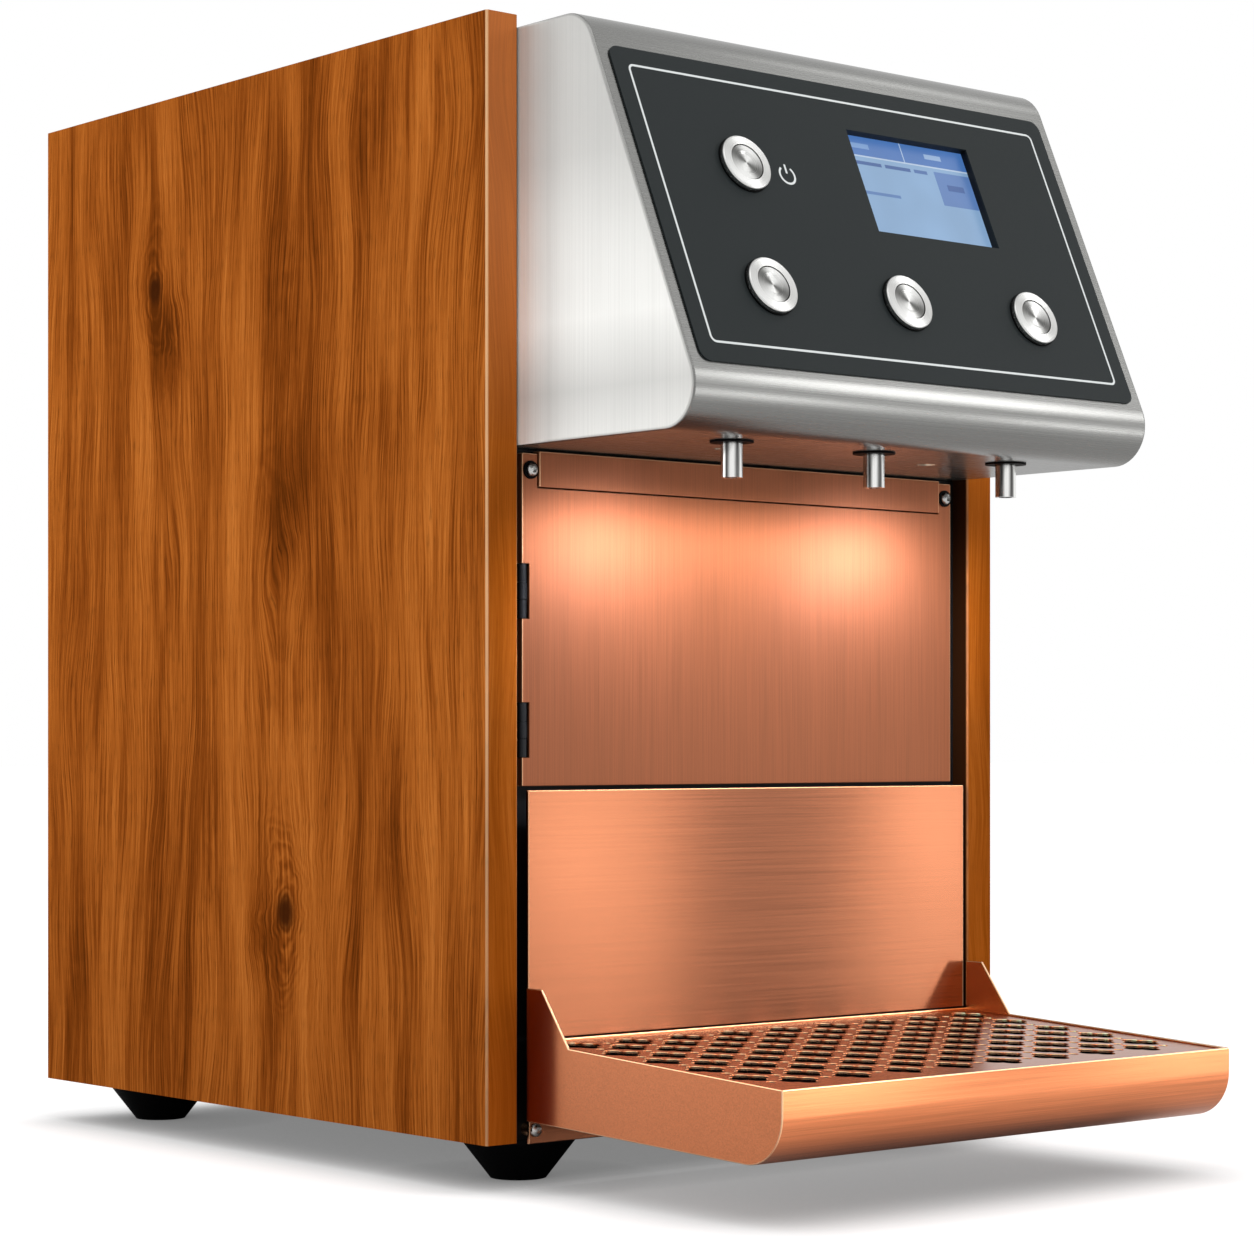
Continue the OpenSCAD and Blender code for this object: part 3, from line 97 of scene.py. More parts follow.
@dataclass(frozen=True)
class Net:
    """Short ways to add the commonest shader nodes to one tree.

    Attributes:
        tree: Node tree that gets the nodes.
    """

    tree: bpy.types.NodeTree

    def add(
        self,
        kind: str,
        inputs: Mapping[str | int, Any] | None = None,
        stops: Sequence[tuple[float, str]] = (),
        **settings: Any,
    ) -> bpy.types.Node:
        """Add a shader node with its settings, values and links.

        Args:
            kind: Type of the node, without its ShaderNode prefix.
            inputs: Sockets to link, or values to set, by input name or number.
            stops: Places and hex colours of a colour ramp.
            **settings: Properties of the node.

        Returns:
            The new node.
        """
        node = self.tree.nodes.new("ShaderNode" + kind)
        for key, value in settings.items():
            setattr(node, key, value)
        for i, (place, code) in enumerate(stops):
            stop = node.color_ramp.elements[i] if i < 2 else node.color_ramp.elements.new(place)
            stop.position = place
            stop.color = linear(code)
        for key, value in (inputs or {}).items():
            if isinstance(value, Socket):
                self.tree.links.new(value, node.inputs[key])
            else:
                node.inputs[key].default_value = value
        return node

    def math(self, operation: str, *values: Value) -> Socket:
        """Calculate with numbers.

        Args:
            operation: What the node does with them.
            *values: Its inputs in order.

        Returns:
            Socket with the result.
        """
        return self.add("Math", dict(enumerate(values)), operation=operation).outputs[0]

    def vector(self, operation: str, *values: Value) -> Socket:
        """Calculate with vectors.

        Args:
            operation: What the node does with them.
            *values: Its inputs in order.

        Returns:
            Socket with the result, a number for a length or a dot product.
        """
        node = self.add("VectorMath", dict(enumerate(values)), operation=operation)
        return node.outputs["Value" if operation in ("LENGTH", "DOT_PRODUCT") else "Vector"]

    def scaled(self, colour: Socket, gain: Value) -> Socket:
        """Brighten or darken a colour by a gain and return it."""
        return self.add("VectorMath", {0: colour, "Scale": gain}, operation="SCALE").outputs[0]

    def split(self, vector: Socket) -> Sequence[Socket]:
        """Return the X, Y and Z of a vector."""
        return self.add("SeparateXYZ", {0: vector}).outputs

    def facing(self, kind: str = "Normal") -> Sequence[Socket]:
        """Return the X, Y and Z of the surface's own normal, of either kind."""
        return self.split(self.add("NewGeometry").outputs[kind])

    def remap(
        self, value: Value, low: float, high: float, first: float, last: float, curve: str = "LINEAR"
    ) -> Socket:
        """Map one range of a value on another, clamped.

        Args:
            value: The value.
            low: Start of its range.
            high: End of its range.
            first: Result at the start.
            last: Result at the end.
            curve: Way between them.

        Returns:
            Socket with the result.
        """
        inputs = {0: value, 1: low, 2: high, 3: first, 4: last}
        return self.add("MapRange", inputs, interpolation_type=curve).outputs[0]

    def grade(self, noise: Socket, first: float, last: float) -> Socket:
        """Map the part of its range that a noise mostly stays in, and return the result."""
        return self.remap(noise, NOISE_LOW, NOISE_HIGH, first, last)

    def mix(self, share: Value, first: Value, second: Value, blend: str = "MIX") -> Socket:
        """Mix two colours.

        Args:
            share: Share of the second.
            first: First colour.
            second: Second colour.
            blend: How the second goes on the first.

        Returns:
            Socket with the colour.
        """
        inputs = {0: share, 6: first, 7: second}
        return self.add("Mix", inputs, data_type="RGBA", blend_type=blend).outputs[2]

    def place(self) -> Socket:
        """Return the object coordinates in metres."""
        return self.add("TexCoord").outputs["Object"]

    def noise(self, scale: Sequence[float], detail: float = 2.0, **more: float) -> Socket:
        """Draw a stretched noise.

        Args:
            scale: Grains per metre in each direction.
            detail: Finer layers.
            **more: Further inputs of the noise.

        Returns:
            Socket with the noise, from 0 to 1.
        """
        mapped = self.add("Mapping", {"Vector": self.place(), "Scale": scale}).outputs[0]
        return self.add("TexNoise", {"Vector": mapped, "Scale": 1.0, "Detail": detail, **more}).outputs[0]

    def bump(self, height: Socket, strength: float, depth_mm: float = 0.2) -> Socket:
        """Raise the surface in the light only, by a height, and return the normal."""
        inputs = {"Height": height, "Strength": strength, "Distance": depth_mm * MM}
        return self.add("Bump", inputs).outputs[0]


@dataclass(frozen=True)
class Finish:
    """A material of the object.

    Attributes:
        name: Name of the material in Blender.
    """

    name: str
    made: ClassVar[dict[str, bpy.types.Material]] = {}

    def material(self) -> bpy.types.Material:
        """Return the Blender material, made on first use."""
        if self.name not in Finish.made:
            material = bpy.data.materials.new(self.name)
            material.use_nodes = True
            net = Net(material.node_tree)
            net.tree.nodes.clear()
            shader = net.add("BsdfPrincipled", self.dress(net))
            net.add("OutputMaterial", {"Surface": shader.outputs["BSDF"]})
            Finish.made[self.name] = material
        return Finish.made[self.name]

    def dress(self, net: Net) -> dict[str, Any]:
        """Draw the surface.

        Args:
            net: Node tree of the material.

        Returns:
            Sockets or values for the Principled shader, by input name.
        """
        raise NotImplementedError


@dataclass(frozen=True)
class Knot:
    """A knot in the veneer: its depth and height on the panel, its reach, its push on the grain and its core."""

    y: float
    z: float
    reach: float
    push: float
    core: float


@dataclass(frozen=True)
class Smoke:
    """A smoky patch of the veneer: its middle, half width, half height and depth of tone."""

    y: float
    z: float
    wide: float
    tall: float
    depth: float


@dataclass(frozen=True)
class OiledVeneer(Finish):
    """Oiled walnut-like veneer, flat cut: long upright grain that parts round knots, with dark pores under thin oil.

    Attributes:
        tones: Colours of the wood from its dark streaks to its light ones.
        heart: Colour of a knot's core.
        edge_highlight: Colour of the painted highlight on the rounded outer arrises.
        inside: Colour of the painted shade on the faces towards the machine.
        strip: Colours of the painted light and shade on the front edge's strip, from bottom to top.
        layers: Width and length in millimetres and share of the tone, for the bands, rings and fibres.
        pore_mm: Width of a pore.
        growth_mm: Width of a year.
        sway: How far the grain swings aside, in metres.
        halo: Change of tone round a knot.
        knot_turn: Turn of the rings round a knot, in radians per metre.
        ripple: Grains per metre of the cross figure in the smoky patches.
    """

    tones: Stops = ((0.34, "#562808"), (0.44, "#7c3d10"), (0.52, "#9e561d"), (0.63, "#b86c2c"))
    heart: str = "#3a1a07"
    edge_highlight: str = "#f0c090"
    inside: str = "#2e180a"
    strip: Stops = (
        (0.03, "#c06014"),
        (0.12, "#a0500e"),
        (0.38, "#6c3408"),
        (0.52, "#86420a"),
        (0.64, "#a85818"),
        (0.85, "#d88047"),
    )
    layers: tuple[tuple[float, float, float], ...] = ((40.0, 420.0, 0.44), (7.0, 170.0, 0.16), (0.9, 60.0, 0.40))
    pore_mm: float = 0.45
    growth_mm: float = 34.0
    sway: float = 0.046
    halo: float = -0.07
    knot_turn: float = 1800.0
    ripple: tuple[float, float, float] = (20.0, 95.0, 62.0)
    knots: tuple[Knot, ...] = (
        Knot(0.1556, 0.398, 0.034, 0.85, 0.0035),
        Knot(0.1440, 0.362, 0.030, 0.60, 0.0),
        Knot(0.0476, 0.110, 0.046, 0.92, 0.0042),
        Knot(0.0560, 0.262, 0.036, 0.70, 0.0),
        Knot(-0.0300, 0.300, 0.030, 0.40, 0.0),
    )
    smoke: tuple[Smoke, ...] = (
        Smoke(0.144, 0.371, 0.018, 0.030, 0.16),
        Smoke(0.049, 0.387, 0.021, 0.062, 0.12),
        Smoke(0.050, 0.298, 0.027, 0.036, 0.18),
        Smoke(-0.011, 0.456, 0.019, 0.032, 0.10),
        Smoke(-0.030, 0.323, 0.013, 0.021, 0.08),
        Smoke(0.109, 0.145, 0.006, 0.060, 0.10),
        Smoke(0.048, 0.209, 0.022, 0.027, 0.12),
        Smoke(-0.033, 0.148, 0.013, 0.047, 0.09),
        Smoke(0.226, 0.082, 0.013, 0.054, 0.09),
        Smoke(0.066, 0.095, 0.018, 0.018, 0.08),
    )

    @staticmethod
    def grain(net: Net, across: Socket, along: Socket, wide_mm: float, run_mm: float) -> Socket:
        """Draw streaks of one width along the grain.

        Args:
            net: Node tree of the material.
            across: Place across the grain in metres, bent round the knots.
            along: Place along the grain in metres.
            wide_mm: Width of a streak.
            run_mm: Length of a streak.

        Returns:
            Socket with the tone, from 0 to 1.
        """
        wide = net.math("MULTIPLY", across, 1 / (wide_mm * MM))
        run = net.math("MULTIPLY", along, 1 / (run_mm * MM))
        spot = net.add("CombineXYZ", {0: wide, 1: run}).outputs[0]
        inputs = {"Vector": spot, "Scale": 1.0, "Detail": 2.0, "Roughness": 0.55}
        return net.add("TexNoise", inputs).outputs[0]

    def growth(self, net: Net, across: Socket) -> Socket:
        """Draw the late wood of single years: dark lines, sharp on one side, that come and go.

        Args:
            net: Node tree of the material.
            across: Place across the grain in metres, bent round the knots.

        Returns:
            Socket with the change of tone, 0 or less.
        """
        years = net.math("MULTIPLY", across, 1 / (self.growth_mm * MM))
        uneven = net.add("TexNoise", {"W": years, "Scale": 0.8, "Detail": 1.0}, noise_dimensions="1D").outputs[0]
        year = net.math("FRACT", net.math("MULTIPLY_ADD", uneven, 1.6, years))
        late = net.remap(year, 0.45, 0.97, 0.0, 1.0, "SMOOTHSTEP")
        late = net.math("MULTIPLY", late, net.remap(year, 0.97, 1.0, 1.0, 0.0))
        patchy = net.noise((5.0, 22.0, 5.0), 1.0)
        return net.math("MULTIPLY", late, net.remap(patchy, 0.38, 0.62, -0.005, -0.060))

    def parted(self, net: Net, across: Socket) -> tuple[Socket, list[Socket], list[Socket]]:
        """Part the grain round the knots.

        Args:
            net: Node tree of the material.
            across: Place across the straight grain in metres.

        Returns:
            Place across the bent grain, changes of tone round the knots, and shares of the knots' hearts.
        """
        halos, hearts = [], []
        wander = net.noise((42.0,) * 3, 3.0)
        for knot in self.knots:
            offset = net.vector("SUBTRACT", net.place(), (0.0, knot.y, knot.z))
            oval = net.vector("LENGTH", net.vector("MULTIPLY", offset, (0.0, 1.0, 0.45)))
            reach = net.math("MULTIPLY_ADD", wander, knot.reach * 0.5, oval)
            near = net.remap(reach, 0.0, knot.reach * 1.15, knot.push, 0.0, "SMOOTHERSTEP")
            across = net.math("SUBTRACT", across, net.math("MULTIPLY", near, net.split(offset)[1]))
            halos.append(net.math("MULTIPLY", near, self.halo))
            if knot.core > 0:
                ball = net.vector("LENGTH", net.vector("MULTIPLY", offset, (0.0, 1.0, 0.8)))
                hearts.append(net.remap(ball, knot.core * 0.7, knot.core * 2.3, 0.95, 0.0, "SMOOTHSTEP"))
                waves = net.math("SINE", net.math("MULTIPLY", reach, self.knot_turn))
                fade = net.remap(reach, knot.reach * 0.25, knot.reach * 0.9, 0.045, 0.0, "SMOOTHSTEP")
                halos.append(net.math("MULTIPLY", waves, fade))
        return across, halos, hearts

    def edged(self, net: Net, colour: Socket) -> Socket:
        """Paint highlights on the outer arrises, shade on the inner faces, light and shade by height on the front
        edge, and shade towards the bottom.

        Args:
            net: Node tree of the material.
            colour: Colour of the veneer.

        Returns:
            Socket with the colour of the whole board.
        """
        facing, parts = net.facing(), net.split(net.place())
        outward = net.math("MULTIPLY", facing[0], parts[0])
        # Painted highlight: pale lines on the rounded outer arrises, stronger on the outward side and higher up.
        corner = net.math("ABSOLUTE", net.math("MULTIPLY", facing[0], facing[1]))
        arris = net.remap(corner, 0.18, 0.42, 0.0, 0.85)
        for share in (net.remap(outward, -0.03, 0.03, 0.25, 1.0), net.remap(parts[2], 0.08, 0.36, 0.5, 1.0)):
            arris = net.math("MULTIPLY", arris, share)
        colour = net.mix(arris, colour, linear(self.edge_highlight))
        # Painted shade: the inner faces next to the door are darkened.
        colour = net.mix(net.remap(outward, -0.13, -0.10, 1.0, 0.0), colour, linear(self.inside))
        # Painted light and shade: the front edge runs dark to light by height.
        rise = net.remap(parts[2], 0.02, 0.47, 0.0, 1.0)
        strip = net.add("ValToRGB", {0: rise}, stops=self.strip).outputs[0]
        colour = net.mix(net.remap(facing[1], -0.97, -0.8, 0.62, 0.0), colour, strip)
        # Painted shade: the whole board gets darker towards the bottom.
        return net.scaled(colour, net.remap(parts[2], 0.03, 0.2, 0.86, 1.0))

    def dress(self, net: Net) -> dict[str, Any]:
        """Lay bands, rings and fibres that bend round the knots, then the smoky patches, pores and hearts, then the
        painted highlights and shade on the edges and low down.
        """
        aside, deep, along = net.split(net.place())
        level = net.math("ADD", deep, aside)
        straight = net.math("MULTIPLY_ADD", net.noise((3.0, 13.0, 4.2)), self.sway, level)
        across, shades, hearts = self.parted(net, straight)
        tone: Value = 0.0
        for wide_mm, run_mm, share in self.layers:
            layer = self.grain(net, across, along, wide_mm, run_mm)
            tone = net.math("MULTIPLY_ADD", layer, share, tone)
        fibre = layer
        for shade in [*shades, self.growth(net, across)]:
            tone = net.math("ADD", tone, shade)
        ripple = net.noise(self.ripple, Distortion=0.8)
        for patch in self.smoke:
            offset = net.vector("SUBTRACT", net.place(), (0.0, patch.y, patch.z))
            oval = net.vector("LENGTH", net.vector("MULTIPLY", offset, (0.0, 1 / patch.wide, 1 / patch.tall)))
            zone = net.remap(oval, 0.1, 1.35, patch.depth, 0.0, "SMOOTHSTEP")
            tone = net.math("SUBTRACT", tone, net.math("MULTIPLY", ripple, zone))
        colour = net.add("ValToRGB", {0: tone}, stops=self.tones).outputs[0]
        pores = net.remap(self.grain(net, across, along, self.pore_mm, 11.0), 0.30, 0.44, 0.40, 1.0)
        colour = net.mix(0.7, colour, pores, "MULTIPLY")
        for heart in hearts:
            colour = net.mix(heart, colour, linear(self.heart))
        return {
            "Base Color": self.edged(net, colour),
            "Roughness": net.grade(fibre, 0.50, 0.36),
            "Normal": net.bump(fibre, 0.08, 0.3),
            "IOR": 1.5,
            "Specular IOR Level": 0.0,
        }


@dataclass(frozen=True)
class BrushedSheet(Finish):
    """Sheet metal drawn over an abrasive belt: fine parallel marks that smear reflections across them.

    The marks are about 0.1 mm apart on the real sheet and are drawn wider, so that they show.

    Attributes:
        mark_mm: Width of a mark.
        run_mm: Length of a mark.
        brushing: Direction of the marks.
        contrast: Change of tone between marks.
        lacquer: Weight of the clear coat.
        relief: Height of the marks in the light.
        edge_highlight: Colour of the painted highlight on eased edges, if they get one.
    """

    colour: str = "#c4c4c2"
    mark_mm: float = 0.45
    run_mm: float = 160.0
    brushing: Brushing = Brushing.UPRIGHT
    roughness: float = 0.30
    contrast: float = 0.10
    anisotropy: float = 0.75
    lacquer: float = 0.0
    relief: float = 0.10
    edge_highlight: str | None = None

    CLOUD: ClassVar[tuple[float, float, float]] = (9.0, 9.0, 9.0)

    def painted_edge_highlight(self, net: Net, colour: Socket) -> Socket:
        """Paint highlights on the sheet's eased edges: those between a side and another face, and the upper front
        ones.

        Args:
            net: Node tree of the material.
            colour: Colour of the sheet.

        Returns:
            Socket with the colour, painted edge highlights included.
        """
        facing = net.facing("True Normal")
        edge_glint = net.math("MULTIPLY", net.math("MULTIPLY", facing[1], facing[2]), -1.0)
        for other in facing[1:]:
            pair = net.math("ABSOLUTE", net.math("MULTIPLY", facing[0], other))
            edge_glint = net.math("MAXIMUM", edge_glint, pair)
        return net.mix(net.remap(edge_glint, 0.12, 0.40, 0.0, 0.85), colour, linear(self.edge_highlight))

    def painted_shading(self, net: Net, colour: Socket) -> Socket:
        """Paint light or shade into the colour; a plain sheet keeps it.

        Args:
            net: Node tree of the material.
            colour: Colour of the plain sheet.

        Returns:
            Socket with the final colour.
        """
        return colour

    def marks(self, net: Net, brushing: Brushing, coarse: float = 1.0) -> Socket:
        """Draw brush marks along one direction.

        Args:
            net: Node tree of the material.
            brushing: Direction of the marks.
            coarse: How much coarser they are than mark_mm.

        Returns:
            Socket with the height of the marks, from 0 to 1.
        """
        fine, long = 1 / (self.mark_mm * coarse * MM), 1 / (self.run_mm * MM)
        return net.noise([long if part else fine for part in brushing.value], 2.5, Roughness=0.7)

    def brushed(self, net: Net, marks: Socket, along: Brushing) -> dict[str, Any]:
        """Shade marks on the sheet, and smear the reflections square to them.

        Args:
            net: Node tree of the material.
            marks: Height of the marks.
            along: Direction of the marks.

        Returns:
            Sockets or values for the Principled shader, by input name.
        """
        share = net.grade(marks, 0.0, 1.0)
        red, green, blue, alpha = linear(self.colour)
        low, high = (
            (min(red * gain, 1.0), min(green * gain, 1.0), min(blue * gain, 1.0), alpha)
            for gain in (1 - self.contrast, 1 + self.contrast)
        )
        colour = net.mix(share, low, high)
        # Painted highlight on the eased edges, where the sheet has a colour for it.
        if self.edge_highlight:
            colour = self.painted_edge_highlight(net, colour)
        gloss = net.grade(net.noise(self.CLOUD), self.roughness * 0.95, self.roughness * 1.05)
        square = net.vector("CROSS_PRODUCT", net.add("NewGeometry").outputs["Normal"], along.value)
        # Where the marks are seen end on, this small vector gives the smear a direction
        spare = (0.02, 0.0, 0.05) if along is Brushing.LEVEL else (0.05, 0.0, 0.0)
        return {
            "Base Color": self.painted_shading(net, colour),
            "Metallic": 1.0,
            "Roughness": net.math("MULTIPLY_ADD", share, self.roughness * 0.2, gloss),
            "Anisotropic": self.anisotropy,
            "Tangent": net.vector("NORMALIZE", net.vector("ADD", square, spare)),
            "Normal": net.bump(marks, self.relief),
            "Coat Weight": self.lacquer,
            "Coat Roughness": 0.42,
        }

    def dress(self, net: Net) -> dict[str, Any]:
        """Brush the whole sheet one way."""
        return self.brushed(net, self.marks(net, self.brushing), self.brushing)


@dataclass(frozen=True)
class WrapSteel(BrushedSheet):
    """Brushed stainless sheet folded round the X axis, level marks on the wrap and coarser upright ones on its cheeks.

    Attributes:
        cheek_gain: How much painted light brightens the cheeks.
        cheek_coarse: How much coarser their marks are.
        cheek_metal: How much of a mirror they are.
        cheek_bands: Painted reflections, soft lights and darks on them, from bottom to top.
    """

    cheek_gain: float = 2.6
    cheek_coarse: float = 2.5
    cheek_metal: float = 0.25
    cheek_bands: Stops = (
        (0.05, "#f8f8f8"),
        (0.21, "#d6d6d6"),
        (0.37, "#ffffff"),
        (0.56, "#ececec"),
        (0.74, "#d2d2d2"),
        (0.90, "#cdcdcd"),
    )

    def sheen(self, net: Net) -> Socket:
        """Paint the soft lights and darks that brushed steel mirrors on the cheeks as bands, and paint light beside
        the panels.

        Args:
            net: Node tree of the material.

        Returns:
            Socket with the gain of the painted light.
        """
        parts = net.split(net.place())
        height = net.remap(parts[2], 0.29, 0.47, 0.0, 1.0)
        bands = net.add("ValToRGB", {0: height}, stops=self.cheek_bands).outputs[0]
        return net.math("MULTIPLY", bands, net.remap(parts[1], -0.118, -0.100, 1.0, 1.75))

    def dress(self, net: Net) -> dict[str, Any]:
        """Brush the wrap level and the cheeks upright and duller, and paint light on the cheeks."""
        side = net.remap(net.math("ABSOLUTE", net.facing()[0]), 0.6, 0.8, 0.0, 1.0)
        wrap = self.marks(net, Brushing.LEVEL)
        cheek = self.marks(net, Brushing.UPRIGHT, self.cheek_coarse)
        marks = net.add("Mix", {0: side, 2: wrap, 3: cheek}, data_type="FLOAT").outputs[0]
        inputs = self.brushed(net, marks, Brushing.LEVEL)
        # Painted light: the cheeks' colour gets a cloudy gain, times the painted bands and the painted light beside
        # the panels.
        gain = net.remap(net.noise(self.CLOUD), 0.35, 0.6, self.cheek_gain * 1.08, self.cheek_gain * 1.22)
        gain = net.math("MULTIPLY", gain, self.sheen(net))
        colour = inputs["Base Color"]
        return inputs | {
            "Base Color": net.mix(side, colour, net.scaled(colour, gain)),
            "Metallic": net.remap(side, 0.0, 1.0, 1.0, self.cheek_metal),
            "Roughness": net.math("MULTIPLY_ADD", side, self.roughness, inputs["Roughness"]),
        }


@dataclass(frozen=True)
class TrayCopper(BrushedSheet):
    """Brushed copper of the drip tray and its grille, with painted light and shade by face and near-black painted
    shade inside the basin.

    Attributes:
        level_mm: Height of the grille's top face at the tray's back edge.
        fall: Fall of that face per length towards the front.
        back: Place of the tray's back edge in front of the middle, in metres.
        wine: Colour of the painted shade inside the basin.
        nose_gain: How much painted light brightens the front.
        side_gain: How much painted shade dulls the outer sides.
        wing_gain: How much painted light brightens the inner sides of its wings.
        lid_gain: How much painted shade dulls the upper faces.
    """

    level_mm: float = 61.37
    fall: float = 0.0498
    back: float = 0.1008
    wine: str = "#1d0905"
    nose_gain: float = 1.5
    side_gain: float = 0.70
    wing_gain: float = 2.6
    lid_gain: float = 0.7

    def painted_shading(self, net: Net, colour: Socket) -> Socket:
        """Paint light on the front and the wings' inner sides, shade on the outer sides and upper faces, and
        near-black shade on every face in the basin below the grille's top that does not face down.
        """
        low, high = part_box("drip_tray")
        parts, facing = net.split(net.place()), net.facing()
        outward = net.math("MULTIPLY", facing[0], parts[0])
        # Painted light and shade by the way each face points: brighter front and wing insides, duller outer sides and
        # upper faces.
        for gain in (
            net.remap(facing[1], -0.97, -0.6, self.nose_gain, 1.0),
            net.remap(outward, 0.08, 0.11, 1.0, self.side_gain),
            net.remap(outward, -0.11, -0.08, self.wing_gain, 1.0),
            net.remap(facing[2], 0.8, 0.95, 1.0, self.lid_gain),
        ):
            colour = net.scaled(colour, gain)
        # Painted shade: faces in the basin, below the grille's top, go near black.
        plane = net.math("MULTIPLY_ADD", parts[1], -self.fall, parts[2])
        rim = self.level_mm * MM + self.fall * self.back - 0.4 * MM
        wall = 0.6 * MM
        basin_shade: Value = 1.0
        for value, limit, operation in (
            (net.math("ABSOLUTE", parts[0]), high[0] - wall, "LESS_THAN"),
            (parts[1], low[1] + wall, "GREATER_THAN"),
            (plane, rim, "LESS_THAN"),
            (facing[2], -0.02, "GREATER_THAN"),
        ):
            basin_shade = net.math("MULTIPLY", basin_shade, net.math(operation, value, limit))
        return net.mix(basin_shade, colour, linear(self.wine))


@dataclass(frozen=True)
class SpunSteel(Finish):
    """Stainless steel faced on a lathe: rings round the middle, with the bright and dark wedges they reflect painted
    into the colour.
    """

    centre: tuple[float, float, float] = (0.0, 0.0, 0.0)
    axis: tuple[float, float, float] = (0.0, 0.0, 1.0)
    colour: str = "#a4a4a2"
    dark: str = "#949492"
    wedge_deg: float = 49.0
    ring_mm: float = 0.35
    roughness: float = 0.34
    anisotropy: float = 0.8

    def dress(self, net: Net) -> dict[str, Any]:
        """Turn fine rings round the centre, paint the reflected wedges into the colour and follow the rings with the
        reflections.
        """
        spoke = net.vector("SUBTRACT", net.place(), self.centre)
        along = net.vector("CROSS_PRODUCT", self.axis, spoke)
        reach = net.math("MULTIPLY", net.vector("LENGTH", along), 1 / (self.ring_mm * MM))
        inputs = {"W": reach, "Scale": 1.0, "Detail": 2.0}
        rings = net.add("TexNoise", inputs, noise_dimensions="1D").outputs[0]
        # Painted reflection: bright and dark wedges by the angle round the centre.
        upward = tuple(Vector((1.0, 0.0, 0.0)).cross(Vector(self.axis)))
        angle = net.math("ARCTAN2", net.vector("DOT_PRODUCT", spoke, upward), net.split(spoke)[0])
        wedge = net.math("COSINE", net.math("MULTIPLY_ADD", angle, 2.0, -2 * math.radians(self.wedge_deg)))
        wedge = net.math("MULTIPLY_ADD", rings, 0.5, wedge)
        share = net.remap(wedge, -0.75, 1.25, 0.0, 1.0)
        return {
            "Base Color": net.mix(share, linear(self.dark), linear(self.colour)),
            "Metallic": 1.0,
            "Roughness": net.grade(rings, self.roughness * 0.8, self.roughness * 1.25),
            "Anisotropic": self.anisotropy,
            "Tangent": net.vector("NORMALIZE", net.vector("CROSS_PRODUCT", along, self.axis)),
        }


@dataclass(frozen=True)
class Grained(Finish):
    """A moulded, cast, coated or plated surface with a fine random grain, such as rubber, ABS or powder coat."""

    colour: str = "#202020"
    other: str = "#282828"
    grain_mm: float = 0.8
    metallic: float = 0.0
    roughness: float = 0.5
    bump: float = 0.15
    ior: float = 1.5
    weight: float = 0.0
    specular: float = 0.5

    def dress(self, net: Net) -> dict[str, Any]:
        """Vary colour, gloss and height with a cloud and a grain."""
        grain = net.noise((1 / (self.grain_mm * MM),) * 3, Roughness=0.55)
        cloud = net.noise((22.0,) * 3, 3.0)
        inputs = {
            "Base Color": net.mix(cloud, linear(self.colour), linear(self.other)),
            "Metallic": self.metallic,
            "Roughness": net.grade(grain, self.roughness * 0.88, min(self.roughness * 1.12, 1.0)),
            "Normal": net.bump(grain, self.bump),
            "Transmission Weight": self.weight,
        }
        if self.metallic < 0.5:
            inputs |= {"IOR": self.ior, "Specular IOR Level": self.specular}
        return inputs


@dataclass(frozen=True)
class ScreenGlow(Finish):
    """Backlit liquid crystal behind a matte polariser: the picture's own light, a little uneven, over a dull sheen."""

    level: float = 0.85
    unlit: str = "#101418"

    def dress(self, net: Net) -> dict[str, Any]:
        """Take the picture from the mesh's colours and let its backlight be a little cloudy."""
        picture = net.add("VertexColor", layer_name="picture").outputs[0]
        even = net.grade(net.noise((40.0,) * 3, 1.0), 0.88, 1.0)
        return {
            "Base Color": linear(self.unlit),
            "Emission Color": net.mix(1.0, picture, even, "MULTIPLY"),
            "Emission Strength": self.level,
            "Roughness": 0.35,
        }


@dataclass(frozen=True)
class DrawnTube(Finish):
    """Polished upright tube: bright and dark bands, painted reflections of a studio in a round bar, run down it.

    Attributes:
        bands: Number of bright painted bands round the tube.
        heading_deg: Direction of the middle of one bright painted band, from X towards Y.
    """

    light: str = "#f0f0ee"
    dark: str = "#4c4b4a"
    bands: float = 6.0
    heading_deg: float = -131.0

    def dress(self, net: Net) -> dict[str, Any]:
        """Run the painted reflection bands down the tube, a little unsteady along it."""
        facing = net.facing()
        angle = net.math("ARCTAN2", facing[1], facing[0])
        turned = net.math("MULTIPLY_ADD", angle, self.bands, -self.bands * math.radians(self.heading_deg))
        drawn = net.noise((2500.0, 2500.0, 90.0))
        band = net.math("MULTIPLY_ADD", drawn, 0.8, net.math("COSINE", turned))
        share = net.remap(band, -0.6, 1.1, 0.0, 1.0)
        return {
            "Base Color": net.mix(share, linear(self.dark), linear(self.light)),
            "Metallic": 1.0,
            "Roughness": net.grade(drawn, 0.14, 0.22),
        }


@dataclass(frozen=True)
class LampLens(Finish):
    """Frosted lens over a warm diode."""

    colour: str = "#ffd9a8"
    frosting: str = "#fff0dc"
    level: float = 0.6

    def dress(self, net: Net) -> dict[str, Any]:
        """Let the lens glow through fine frosting."""
        frost = net.noise((900.0,) * 3)
        return {
            "Base Color": net.mix(frost, linear(self.frosting), linear(self.colour)),
            "Emission Color": linear(self.colour),
            "Emission Strength": self.level,
            "Roughness": net.grade(frost, 0.35, 0.6),
        }


